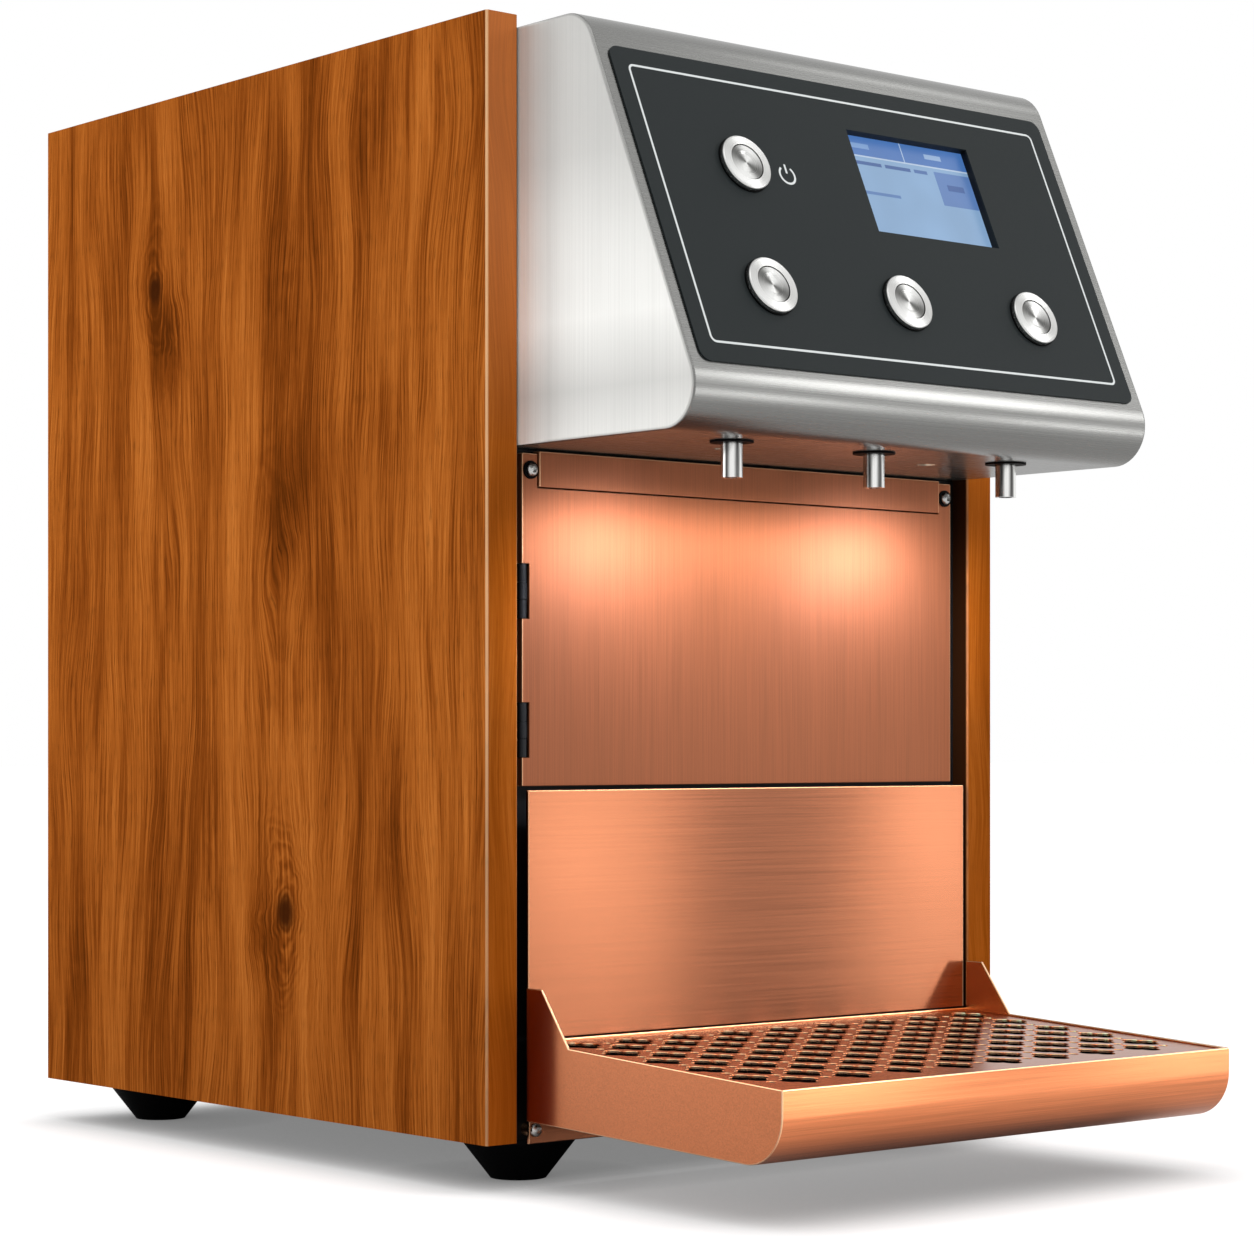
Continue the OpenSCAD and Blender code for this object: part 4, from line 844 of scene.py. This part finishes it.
@dataclass(frozen=True)
class PaleFloor(Finish):
    """Matte white sweep of a photo studio: even and bright, with only the object's shadow and painted contact shade on
    it.

    Attributes:
        colour: Its colour in the light that it throws on the object.
        seen: Its colour under the camera.
        lift: Light of its own that brings it to white under the camera.
        contact: Height in metres below which things darken it with painted contact shade.
        depth: How dark that painted shade gets.
    """

    colour: str = "#f6f6f6"
    seen: str = "#c8c8c8"
    lift: float = 0.64
    contact: float = 0.042
    depth: float = 0.84

    def dress(self, net: Net) -> dict[str, Any]:
        """Lift the floor to white where the camera sees it, and paint contact shade right under the object."""
        looking = net.add("LightPath").outputs["Is Camera Ray"]
        # Painted shade: ambient occlusion darkens the floor's colour and its lift near the object.
        shade = net.add("AmbientOcclusion", {"Distance": self.contact}).outputs["AO"]
        deep = net.remap(shade, 0.0, 1.0, 1 - self.depth, 1.0)
        tint = net.mix(looking, linear(self.colour), linear(self.seen))
        return {
            "Base Color": net.scaled(tint, deep),
            "Roughness": 1.0,
            "Specular IOR Level": 0.0,
            "Emission Color": linear("#ffffff"),
            "Emission Strength": net.math("MULTIPLY", net.math("MULTIPLY", looking, self.lift), deep),
        }


# Warm brown boards with fine upright grain, a few knots, painted highlights on the corners, and painted shade inside,
# on the front edges and low down
VENEER = OiledVeneer("oiled walnut-like veneer")
# Soft grey wrap with level highlights along its folds, and cheeks with upright marks, brightened and banded with
# painted light
HEAD_STEEL = WrapSteel(
    "brushed stainless wrap", "#80807e", 0.4, roughness=0.25, contrast=0.06, anisotropy=0.6, relief=0.006
)
# Plain darker steel that closes the top and the back
COVER_STEEL = BrushedSheet("brushed stainless cover", "#929290", brushing=Brushing.LEVEL, roughness=0.34)
# Satin copper with upright marks that spreads the lamps' light into soft pools
DOOR_COPPER = BrushedSheet(
    "copper brushed upright",
    "#8e5437",
    mark_mm=0.4,
    run_mm=60.0,
    roughness=0.46,
    contrast=0.17,
    anisotropy=0.6,
    lacquer=0.15,
    edge_highlight="#eebb90",
)
# Glossier copper with level marks that draws the studio's lamps out into upright bands
SHELF_COPPER = BrushedSheet(
    "copper brushed level",
    "#8c563b",
    mark_mm=0.6,
    run_mm=90.0,
    brushing=Brushing.LEVEL,
    roughness=0.21,
    contrast=0.16,
    anisotropy=0.9,
    lacquer=0.15,
    relief=0.04,
    edge_highlight="#eebb90",
)
# The same on the tray, with painted light and shade by face and near-black painted shade in the basin
TRAY_COPPER = TrayCopper(
    "copper of the tray",
    "#ba7048",
    mark_mm=0.6,
    run_mm=90.0,
    brushing=Brushing.LEVEL,
    roughness=0.22,
    contrast=0.16,
    anisotropy=0.85,
    lacquer=0.15,
    relief=0.04,
    edge_highlight="#f2c49c",
)
# Clean bright stubs at the back
TURNED_STEEL = BrushedSheet(
    "turned stainless", "#b0b0ae", mark_mm=0.3, run_mm=40.0, brushing=Brushing.LEVEL, roughness=0.22, contrast=0.06
)
# Mirror-like nozzles with painted reflection bands of light and dark
TUBE_STEEL = DrawnTube("polished stainless tube")
# Dull grey plating of hidden sheets and fasteners
ZINC = Grained("zinc plated sheet", "#8f9396", "#7a7f83", 3.0, 1.0, 0.42, 0.05)
# Fine-textured black of the frame and hinges, with hardly a highlight
BLACK_COAT = Grained("black powder coat", "#070708", "#0c0c0d", 0.5, 0.0, 0.55, 0.25, specular=0.2)
# Matte charcoal panel, a little blue, that keeps the buttons and the print in front
FILM = Grained("printed charcoal film", "#252a2b", "#232829", 0.45, 0.0, 0.48, 0.08, specular=0.10)
# Crisp off-white lines on the film
WHITE_INK = Grained("white screen ink", "#e4e8e8", "#dbe0e0", 0.4, 0.0, 0.5, 0.05, specular=0.2)
# Smooth black rim round the screen and at the mains inlet
BLACK_PLASTIC = Grained("black moulded plastic", "#060607", "#0a0a0b", 0.6, 0.0, 0.45, 0.12, specular=0.25)
# Dead black feet, rings and washers
RUBBER = Grained("black rubber", "#030304", "#060607", 0.9, 0.0, 0.62, 0.20, specular=0.06)
# Milky hoses that let some light through
SILICONE = Grained("clear silicone hose", "#b4b0a5", "#a5a195", 1.5, 0.0, 0.35, 0.05, 1.41, 0.35)
# Rough silvery heater
CAST = Grained("cast aluminium", "#a8aaac", "#8f9294", 1.2, 1.0, 0.45, 0.2)
# Dark grey pumps
PUMP_BODY = Grained("dark moulded pump", "#2b2b2d", "#353538", 0.7, 0.0, 0.5, 0.15)
# Glossy green board
BOARD = Grained("green solder resist", "#0e4a2a", "#136036", 2.0, 0.0, 0.35, 0.05)
# Bright screw heads that stand out from copper and black
SCREW_STEEL = Grained("bright screw steel", "#cacac8", "#b4b4b2", 0.6, 1.0, 0.28, 0.05)
# Light blue picture that glows evenly
SCREEN = ScreenGlow("lit blue screen")
# Small warm lenses under the head
LENS = LampLens("warm lamp lens")

FINISHED: dict[Finish, str] = {
    VENEER: "left_side_panel right_side_panel",
    ZINC: "base_plate switch_nuts tray_hanger foot_screws pump_shelf shelf_posts power_supply panel_screws",
    BLACK_COAT: "front_frame door_hinge_leaves frame_hinge_leaves hinge_pins",
    COVER_STEEL: "rear_cover top_cover",
    HEAD_STEEL: "head_shell",
    FILM: "control_fascia",
    BLACK_PLASTIC: "display_bezel display_panel mains_inlet",
    RUBBER: "switch_seals nozzle_grommets door_washers"
    " front_left_foot front_right_foot rear_left_foot rear_right_foot",
    TUBE_STEEL: "left_nozzle centre_nozzle right_nozzle",
    LENS: "bay_lamps",
    DOOR_COPPER: "service_door header_strip",
    SCREW_STEEL: "door_screws base_strip_screws cover_screws",
    SHELF_COPPER: "backsplash base_strip",
    TRAY_COPPER: "drip_tray drip_grille grille_legs",
    PUMP_BODY: "left_pump centre_pump right_pump",
    CAST: "flow_heater",
    SILICONE: "supply_hoses heater_hoses nozzle_hoses",
    BOARD: "control_board",
    TURNED_STEEL: "hose_inlets",
}
NODE_FINISH = {node: finish for finish, nodes in FINISHED.items() for node in nodes.split()}


def dress_node(node: str, finish: Finish) -> None:
    """Give a CAD node its finish.

    Args:
        node: Name of the node.
        finish: Its finish.
    """
    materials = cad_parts[node].data.materials
    materials.clear()
    materials.append(finish.material())


def place_piece(
    mesh: bmesh.types.BMesh, name: str, finish: Finish, body: str, sharp_deg: float = 32.0
) -> bpy.types.Object:
    """Turn a bmesh into a piece of the object that rides on a body.

    Args:
        mesh: Finished shape, in the model's frame.
        name: Name of the piece.
        finish: Its finish.
        body: CAD body that it moves with.
        sharp_deg: Edges over this angle stay sharp.

    Returns:
        The new object.
    """
    data = bpy.data.meshes.new(name)
    mesh.to_mesh(data)
    mesh.free()
    if "custom_normal" in data.attributes:
        data.attributes.remove(data.attributes["custom_normal"])
    data.shade_smooth()
    data.set_sharp_from_angle(angle=math.radians(sharp_deg))
    data.materials.clear()
    data.materials.append(finish.material())
    piece = bpy.data.objects.new(name, data)
    bpy.context.scene.collection.objects.link(piece)
    even = piece.modifiers.new("flat faces keep flat", "WEIGHTED_NORMAL")
    even.keep_sharp = True
    even.weight = 90
    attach(piece, body)
    LOG.info("%s rides on %s with %d faces", name, body, len(data.polygons))
    return piece


@dataclass
class Softened:
    """A CAD sheet or board whose sharp edges are eased, as they are on the real piece.

    Attributes:
        node: CAD node that the piece stands for.
        body: Body that it rides on.
        slot: Material slot of the record; not used.
        radius_mm: Size of the eased edge.
        form: Which edges are eased.
        segments: Steps across the eased edge.
    """

    node: str
    body: str
    slot: str
    radius_mm: float
    form: Form = Form.OUTER
    segments: int = 2

    SHARP_DEG: ClassVar[float] = 50.0
    NEAR: ClassVar[float] = 0.02 * MM
    SHORT: ClassVar[float] = 3 * MM
    PANEL_FRONT: ClassVar[float] = -0.09

    def chosen(self, mesh: bmesh.types.BMesh) -> list[bmesh.types.BMEdge]:
        """Pick the edges to ease.

        Args:
            mesh: Merged copy of the node's mesh.

        Returns:
            The edges.
        """
        low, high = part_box(self.node)

        def on_box(point: Vector) -> set[int]:
            """Name the faces of the node's box that a point lies on."""
            return {2 * i for i in range(3) if abs(point[i] - low[i]) < self.NEAR} | {
                2 * i + 1 for i in range(3) if abs(point[i] - high[i]) < self.NEAR
            }

        def wanted(edge: bmesh.types.BMEdge) -> bool:
            """Tell whether an edge is one to ease."""
            sharp = math.radians(self.SHARP_DEG)
            if len(edge.link_faces) != 2 or not edge.is_convex or edge.calc_face_angle() < sharp:
                return False
            first, second = (on_box(vert.co) for vert in edge.verts)
            if self.form is Form.OUTER:
                return len(first & second) >= 2
            if self.form is Form.CHEEK:
                hidden = all(vert.co.y > self.PANEL_FRONT for vert in edge.verts)
                return bool(first & second & {0, 1}) and not (hidden and edge.calc_length() < self.SHORT)
            return True

        return [edge for edge in mesh.edges if wanted(edge)]

    def build(self) -> None:
        """Make the eased copy and let it stand for the node."""
        mesh = bmesh.new()
        mesh.from_mesh(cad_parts[self.node].data)
        bmesh.ops.remove_doubles(mesh, verts=mesh.verts, dist=0.001 * MM)
        bmesh.ops.dissolve_limit(
            mesh, angle_limit=math.radians(0.3), verts=mesh.verts, edges=mesh.edges, use_dissolve_boundaries=False
        )
        bmesh.ops.bevel(
            mesh,
            geom=self.chosen(mesh),
            offset=self.radius_mm * MM,
            offset_type="OFFSET",
            segments=self.segments,
            profile=0.5,
            affect="EDGES",
            clamp_overlap=True,
            material=-1,
        )
        piece = place_piece(mesh, f"{self.node}_eased", NODE_FINISH[self.node], self.body)
        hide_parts(self.node)


@dataclass
class ControlFace:
    """Printed lines, lit picture and button finishes on the sloping control face. Lengths are in millimetres.

    Attributes:
        origin: Middle of the face's upper edge.
        film_top: Height of the film on the steel.
        ink: Thickness of the print.
        window: Left, top, right and bottom of the display window.
        glass: Height of the display's glass, below the steel.
        fields: Left, top, right and bottom of each field of the picture as shares of the window, with its colour.
        buttons: Middle of each button.
        cap_tones: Painted bright and dark reflection wedges of the caps.
        bezel_tones: Painted bright and dark reflection wedges of the bezels.
    """

    origin: tuple[float, float, float] = (0.0, -147.206, 466.38)
    film_top: float = 0.8
    ink: float = 0.06
    border_half: float = 119.2
    border_top: float = 7.8
    border_bottom: float = 135.8
    border_r: float = 3.0
    border_line: float = 1.0
    symbol: tuple[float, float] = (-46.7, 50.6)
    symbol_r: float = 4.1
    symbol_line: float = 1.0
    symbol_gap_deg: float = 38.0
    window: tuple[float, float, float, float] = (-1.85, 22.0, 71.65, 72.0)
    glass: float = -2.8
    fields: tuple[tuple[float, float, float, float, str], ...] = (
        (0.0, 0.0, 1.0, 1.0, "#8fb4dc"),
        (0.0, 0.0, 1.0, 0.19, "#4a7cc4"),
        (0.47, 0.0, 0.478, 0.19, "#b8d0ee"),
        (0.0, 0.19, 1.0, 0.205, "#c3d8f0"),
        (0.70, 0.24, 1.0, 0.58, "#5f86c4"),
        (0.05, 0.07, 0.20, 0.12, "#7ea6dc"),
        (0.66, 0.07, 0.80, 0.12, "#9dbde6"),
        (0.03, 0.25, 0.26, 0.285, "#3f66a6"),
        (0.29, 0.25, 0.50, 0.285, "#3f66a6"),
        (0.53, 0.25, 0.64, 0.285, "#4d74b2"),
        (0.04, 0.55, 0.34, 0.58, "#5c85c0"),
        (0.78, 0.36, 0.92, 0.42, "#3b62a4"),
    )
    buttons: dict[str, tuple[float, float]] = field(
        default_factory=lambda: {
            "power": (-70.7, 49.0),
            "left": (-77.5, 107.0),
            "centre": (0.0, 107.0),
            "right": (77.5, 107.0),
        }
    )
    cap_tones: tuple[str, str] = ("#dededc", "#646462")
    bezel_tones: tuple[str, str] = ("#e2e2e0", "#c4c4c2")

    def at(self, u: float, v: float, height: float) -> Matrix:
        """Give the place on the control face.

        Args:
            u: Millimetres to the right of the middle.
            v: Millimetres down the slope.
            height: Millimetres out of the steel face.

        Returns:
            Matrix from local metres, with Z outward, to the model.
        """
        origin = Matrix.Translation(Vector(self.origin) * MM)
        return origin @ Matrix.Rotation(TILT, 4, "X") @ Matrix.Translation(Vector((u, -v, height)) * MM)

    def border(self) -> None:
        """Print the thin white line that frames the controls."""
        mesh = bmesh.new()
        wide = self.border_half * 2 * MM
        tall = (self.border_bottom - self.border_top) * MM
        bmesh.ops.create_grid(mesh, x_segments=1, y_segments=1, size=0.5, matrix=Matrix.Diagonal((wide, tall, 1, 1)))
        bmesh.ops.bevel(
            mesh,
            geom=mesh.verts[:],
            offset=self.border_r * MM,
            offset_type="OFFSET",
            segments=6,
            profile=0.5,
            affect="VERTICES",
            material=-1,
        )
        bmesh.ops.inset_region(mesh, faces=mesh.faces[:], thickness=self.border_line * MM, use_boundary=True)
        inner = max(mesh.faces, key=lambda face: face.calc_area())
        bmesh.ops.delete(mesh, geom=[inner], context="FACES")
        bmesh.ops.solidify(mesh, geom=mesh.faces[:], thickness=-self.ink * MM)
        middle = (self.border_top + self.border_bottom) / 2
        bmesh.ops.transform(mesh, matrix=self.at(0, middle, self.film_top), verts=mesh.verts)
        bmesh.ops.recalc_face_normals(mesh, faces=mesh.faces)
        place_piece(mesh, "fascia_border_print", WHITE_INK, "cabinet")

    def power_symbol(self) -> None:
        """Print the open ring and bar beside the upper button."""
        mesh = bmesh.new()
        half = self.symbol_line / 2
        gap = math.radians(self.symbol_gap_deg)
        start = Matrix.Rotation(math.pi / 2 + gap, 4, "Z")
        ends = [mesh.verts.new(start @ Vector(((self.symbol_r + side * half) * MM, 0, 0))) for side in (-1, 1)]
        stroke = mesh.edges.new(ends)
        bmesh.ops.spin(
            mesh,
            geom=[stroke, *ends],
            cent=(0, 0, 0),
            axis=(0, 0, 1),
            angle=2 * (math.pi - gap),
            steps=36,
            use_duplicate=False,
        )
        bar = bmesh.ops.create_grid(mesh, x_segments=1, y_segments=1, size=0.5)["verts"]
        bmesh.ops.scale(mesh, vec=(self.symbol_line * MM, self.symbol_r * 1.05 * MM, 1), verts=bar)
        bmesh.ops.translate(mesh, vec=(0, self.symbol_r * 0.72 * MM, 0), verts=bar)
        bmesh.ops.recalc_face_normals(mesh, faces=mesh.faces)
        bmesh.ops.solidify(mesh, geom=mesh.faces[:], thickness=self.ink * MM)
        bmesh.ops.transform(mesh, matrix=self.at(*self.symbol, self.film_top + self.ink), verts=mesh.verts)
        bmesh.ops.recalc_face_normals(mesh, faces=mesh.faces)
        place_piece(mesh, "power_symbol_print", WHITE_INK, "cabinet")

    def picture(self) -> None:
        """Lay the screen's bands, patch and bars as coloured fields on the display glass, each just above the last."""
        left, top, right, bottom = self.window
        wide, tall = right - left, bottom - top
        lowest, step = self.glass + 0.04, 0.008
        mesh = bmesh.new()
        paint = mesh.loops.layers.float_color.new("picture")
        for level, (u0, v0, u1, v1, code) in enumerate(self.fields):
            corners = bmesh.ops.create_grid(mesh, x_segments=1, y_segments=1, size=0.5)["verts"]
            bmesh.ops.scale(mesh, vec=((u1 - u0) * wide * MM, (v1 - v0) * tall * MM, 1), verts=corners)
            spot = self.at(left + (u0 + u1) / 2 * wide, top + (v0 + v1) / 2 * tall, lowest + step * level)
            bmesh.ops.transform(mesh, matrix=spot, verts=corners)
            for loop in (loop for vert in corners for loop in vert.link_loops):
                loop[paint] = linear(code)
        place_piece(mesh, "screen_picture", SCREEN, "cabinet")

    def dress_buttons(self) -> None:
        """Give each button and its bezel a spun finish round its own middle, with painted reflection wedges."""
        for name, (u, v) in self.buttons.items():
            centre = tuple(self.at(u, v, 3.0).translation)
            cap = "power_button" if name == "power" else f"{name}_portion_button"
            for node, tones in ((cap, self.cap_tones), (f"{name}_switch_body", self.bezel_tones)):
                dress_node(node, SpunSteel(f"spun steel of {node}", centre, INWARD, *tones))

    def build(self) -> None:
        """Make every print on the face and dress its buttons."""
        self.border()
        self.power_symbol()
        self.picture()
        self.dress_buttons()


@dataclass
class ButtonHeads:
    """Domed screws with a hexagon socket that stand for a node's plain screws. Lengths are in millimetres.

    Attributes:
        node: CAD node of the screws.
        body: Body that they ride on.
        slot: Material slot of the record; not used.
        places: Middle of each head's seat, with the heads pointing forward.
        shank_len: Length of the shank behind the seat.
        head_d: Diameter of the head.
        head_h: Height of the head.
        rim: Share of that height which is upright.
        shank_d: Diameter of the shank.
        socket_af: Width of the socket across its flats.
        DOME_TURNS: Angles of the dome's rings above its rim, in radians.
        DOME_FULLNESS: Power under 1 that makes the dome fuller than a ball.
        LIP_SHARE: Radius of the socket's lip, as a share of its width.
        FLOOR_SHARE: Height of the socket's floor, as a share of the head's.
    """

    node: str
    body: str
    slot: str
    places: tuple[tuple[float, float, float], ...]
    shank_len: float
    head_d: float = 5.5
    head_h: float = 2.0
    rim: float = 0.25
    shank_d: float = 4.0
    socket_af: float = 2.5

    DOME_TURNS: ClassVar[tuple[float, ...]] = (0.35, 0.7, 1.0)
    DOME_FULLNESS: ClassVar[float] = 0.7
    LIP_SHARE: ClassVar[float] = 0.62
    FLOOR_SHARE: ClassVar[float] = 0.45

    def head(self) -> bmesh.types.BMesh:
        """Raise the dome ring by ring, then sink the socket in its top.

        Returns:
            One screw with its seat at the origin and its head up.
        """
        mesh = bmesh.new()
        ring = bmesh.ops.create_circle(mesh, cap_ends=False, radius=self.shank_d / 2 * MM, segments=24)["verts"]
        bmesh.ops.translate(mesh, vec=(0, 0, -self.shank_len * MM), verts=ring)
        bmesh.ops.contextual_create(mesh, geom=ring)
        head_r = self.head_d / 2
        rise = [(self.shank_d / 2, 0.0), (head_r, 0.0), (head_r, self.head_h * self.rim)]
        for turn in self.DOME_TURNS:
            share = self.rim + (1 - self.rim) * math.sin(turn)
            rise.append((head_r * math.cos(turn) ** self.DOME_FULLNESS, self.head_h * share))
        rise.append((self.socket_af * self.LIP_SHARE, self.head_h))
        for radius, height in rise:
            ring = self.grow(mesh, ring, radius, height)
        for vert in ring:
            turn = math.atan2(vert.co.y, vert.co.x) % (math.pi / 3) - math.pi / 6
            vert.co.xy = vert.co.xy.normalized() * (self.socket_af / 2 / math.cos(turn)) * MM
        ring = self.grow(mesh, ring, None, self.head_h * self.FLOOR_SHARE)
        bmesh.ops.contextual_create(mesh, geom=ring)
        bmesh.ops.recalc_face_normals(mesh, faces=mesh.faces)
        return mesh

    @staticmethod
    def grow(
        mesh: bmesh.types.BMesh, ring: list[bmesh.types.BMVert], radius: float | None, height: float
    ) -> list[bmesh.types.BMVert]:
        """Extrude an open ring to a new radius and height.

        Args:
            mesh: Mesh that holds the ring.
            ring: Its vertices.
            radius: New radius in millimetres, or None to keep each vertex where it is.
            height: New height in millimetres.

        Returns:
            Vertices of the new ring.
        """
        inside = set(ring)
        edges = [edge for edge in mesh.edges if inside.issuperset(edge.verts)]
        grown = bmesh.ops.extrude_edge_only(mesh, edges=edges)["geom"]
        fresh = [item for item in grown if isinstance(item, bmesh.types.BMVert)]
        for vert in fresh:
            if radius is not None:
                vert.co.xy = vert.co.xy.normalized() * radius * MM
            vert.co.z = height * MM
        return fresh

    def build(self) -> None:
        """Set a screw at each place."""
        whole = bmesh.new()
        for place in self.places:
            one = self.head()
            turn = Matrix.Translation(Vector(place) * MM) @ Matrix.Rotation(math.pi / 2, 4, "X")
            bmesh.ops.transform(one, matrix=turn, verts=one.verts)
            data = bpy.data.meshes.new("screw")
            one.to_mesh(data)
            one.free()
            whole.from_mesh(data)
            bpy.data.meshes.remove(data)
        piece = place_piece(whole, f"{self.node}_domed", NODE_FINISH[self.node], self.body)
        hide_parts(self.node)


@dataclass(frozen=True)
class Softbox:
    """A soft rectangular lamp: where it stands, what it points at, its face, its power and the angle of its beam."""

    name: str
    place: tuple[float, float, float]
    target: tuple[float, float, float]
    size: tuple[float, float]
    watts: float
    spread_deg: float = 180.0

    def build(self) -> None:
        """Set the lamp up, out of the camera's sight."""
        data = bpy.data.lights.new(self.name, "AREA")
        data.shape = "RECTANGLE"
        data.size, data.size_y = self.size
        data.energy = self.watts
        data.spread = math.radians(self.spread_deg)
        lamp = bpy.data.objects.new(self.name, data)
        lamp.location = self.place
        lamp.rotation_euler = (Vector(self.target) - Vector(self.place)).to_track_quat("-Z", "Y").to_euler()
        lamp.visible_camera = False
        bpy.context.scene.collection.objects.link(lamp)


@dataclass
class Studio:
    """Camera at the photograph's place, pale floor and soft lamps.

    Attributes:
        shift_y: Rise of the picture plane, as a share of its width.
        room_level: Strength of the even light on matte surfaces; mirrors and the camera see white.
        bay_watts: Power of each of the two lamps in the cup bay.
        bay_mid: Place of the upright plane that they mirror each other in.
        bay_lamp: Place of the right one, with X from that plane.
        bay_pool: Middle of its pool of light on the door, likewise.
        softboxes: The other lamps.
    """

    camera_at: tuple[float, float, float] = (-0.958, -1.1405, 0.1855)
    heading_deg: float = -40.29
    lens_mm: float = 92.31
    shift_y: float = 0.0921
    floor_size: float = 40.0
    room_level: float = 0.74
    bay_watts: float = 1.85
    bay_colour: str = "#d0deff"
    bay_cone_deg: float = 84.0
    bay_mid: float = -0.002
    bay_lamp: tuple[float, float, float] = (0.083, -0.170, 0.290)
    bay_pool: tuple[float, float, float] = (0.074, -0.0935, 0.234)
    softboxes: tuple[Softbox, ...] = (
        Softbox("left softbox", (-1.7, 1.35, 0.75), (-0.1, 0.0, 0.35), (2.0, 1.4), 24.0),
        Softbox("near strip", (0.865, -1.27, 0.10), (-0.10, -0.1, 0.1), (0.15, 0.16), 0.82),
        Softbox("far strip", (1.178, -1.14, 0.10), (0.11, -0.1, 0.1), (0.12, 0.16), 0.69),
        Softbox("right softbox", (1.45, -1.38, 1.15), (0.0, -0.25, 0.36), (0.45, 0.6), 6.0),
        Softbox("button softbox", (1.4, -0.5, 1.83), (0.0, -0.2, 0.42), (0.3, 0.3), 0.8),
        Softbox("top softbox", (-0.5, -0.9, 2.0), (0.0, -0.1, 0.3), (1.4, 1.0), 5.0),
        Softbox("bay wash", (0.004, -0.172, 0.288), (0.004, -0.0935, 0.212), (0.22, 0.012), 0.26, 100.0),
    )

    def camera(self) -> None:
        """Set up the level camera with a raised picture plane."""
        data = bpy.data.cameras.new("camera")
        data.sensor_width = 36.0
        data.lens = self.lens_mm
        data.shift_y = self.shift_y
        data.clip_start = 0.01
        camera = bpy.data.objects.new("camera", data)
        camera.location = self.camera_at
        camera.rotation_euler = (math.pi / 2, 0.0, math.radians(self.heading_deg))
        bpy.context.scene.collection.objects.link(camera)
        bpy.context.scene.camera = camera

    def floor(self) -> None:
        """Lay a pale matte floor."""
        mesh = bmesh.new()
        bmesh.ops.create_grid(mesh, x_segments=1, y_segments=1, size=self.floor_size / 2)
        data = bpy.data.meshes.new("floor")
        mesh.to_mesh(data)
        mesh.free()
        data.materials.append(PaleFloor("pale floor").material())
        floor = bpy.data.objects.new("floor", data)
        bpy.context.scene.collection.objects.link(floor)

    def bay_light(self, side: float) -> None:
        """Shine a soft pool from a bay lamp on the door behind it.

        Args:
            side: Left is -1 and right is 1.
        """
        data = bpy.data.lights.new("bay_light", "SPOT")
        data.energy = self.bay_watts
        data.color = linear(self.bay_colour)[:3]
        data.spot_size = math.radians(self.bay_cone_deg)
        data.spot_blend = 1.0
        data.shadow_soft_size = 0.025
        light = bpy.data.objects.new(data.name, data)
        lamp, pool = (
            Vector((side * aside + self.bay_mid, deep, high)) for aside, deep, high in (self.bay_lamp, self.bay_pool)
        )
        light.location = lamp
        light.rotation_euler = (pool - lamp).to_track_quat("-Z", "Y").to_euler()
        bpy.context.scene.collection.objects.link(light)

    def world(self) -> None:
        """Fill the room with an even light and show white behind the object."""
        world = bpy.data.worlds.new("studio")
        bpy.context.scene.world = world
        world.use_nodes = True
        net = Net(world.node_tree)
        net.tree.nodes.clear()
        path = net.add("LightPath").outputs
        shown = net.math("MAXIMUM", path["Is Camera Ray"], path["Is Transmission Ray"])
        shown = net.math("MAXIMUM", shown, path["Is Glossy Ray"])
        level = net.remap(shown, 0.0, 1.0, self.room_level, 1.0)
        back = net.add("Background", {"Color": linear("#ffffff"), "Strength": level})
        net.add("OutputWorld", {"Surface": back.outputs[0]})

    def build(self) -> None:
        """Set the whole studio."""
        bpy.context.scene.view_settings.view_transform = "Standard"
        self.camera()
        self.floor()
        self.world()
        for softbox in self.softboxes:
            softbox.build()
        for side in (-1.0, 1.0):
            self.bay_light(side)


SOFTENED = (
    Softened("left_side_panel", "cabinet", "wood", 1.6),
    Softened("right_side_panel", "cabinet", "wood", 1.6),
    Softened("head_shell", "cabinet", "steel", 2.4, Form.CHEEK, 5),
    Softened("top_cover", "cabinet", "steel", 0.6),
    Softened("service_door", "door", "copper", 0.45),
    Softened("header_strip", "cabinet", "copper", 0.5),
    Softened("backsplash", "cabinet", "copper", 0.45),
    Softened("base_strip", "cabinet", "copper", 0.4),
    Softened("drip_tray", "tray", "copper", 0.5, Form.SHARP),
    Softened("drip_grille", "grille", "copper", 0.25, Form.SHARP),
)
DOOR_SEATS = ((-123.2, -94.3, 299.0), (123.2, -94.3, 299.0))
STRIP_SEATS = ((-122.25, -95.7, 24.3), (122.25, -95.7, 24.3))
SCREWS = (
    ButtonHeads("door_screws", "door", "bright_steel", DOOR_SEATS, shank_len=4.1),
    ButtonHeads("base_strip_screws", "cabinet", "bright_steel", STRIP_SEATS, shank_len=12.7),
)


def main() -> None:
    """Dress the CAD model, add its finer pieces and set the studio."""
    logging.basicConfig(level=logging.INFO, format="%(name)s: %(message)s")
    for node, finish in NODE_FINISH.items():
        dress_node(node, finish)
    Studio().build()
    for sheet in SOFTENED:
        sheet.build()
    for screws in SCREWS:
        screws.build()
    ControlFace().build()


if __name__ == "__main__":
    main()
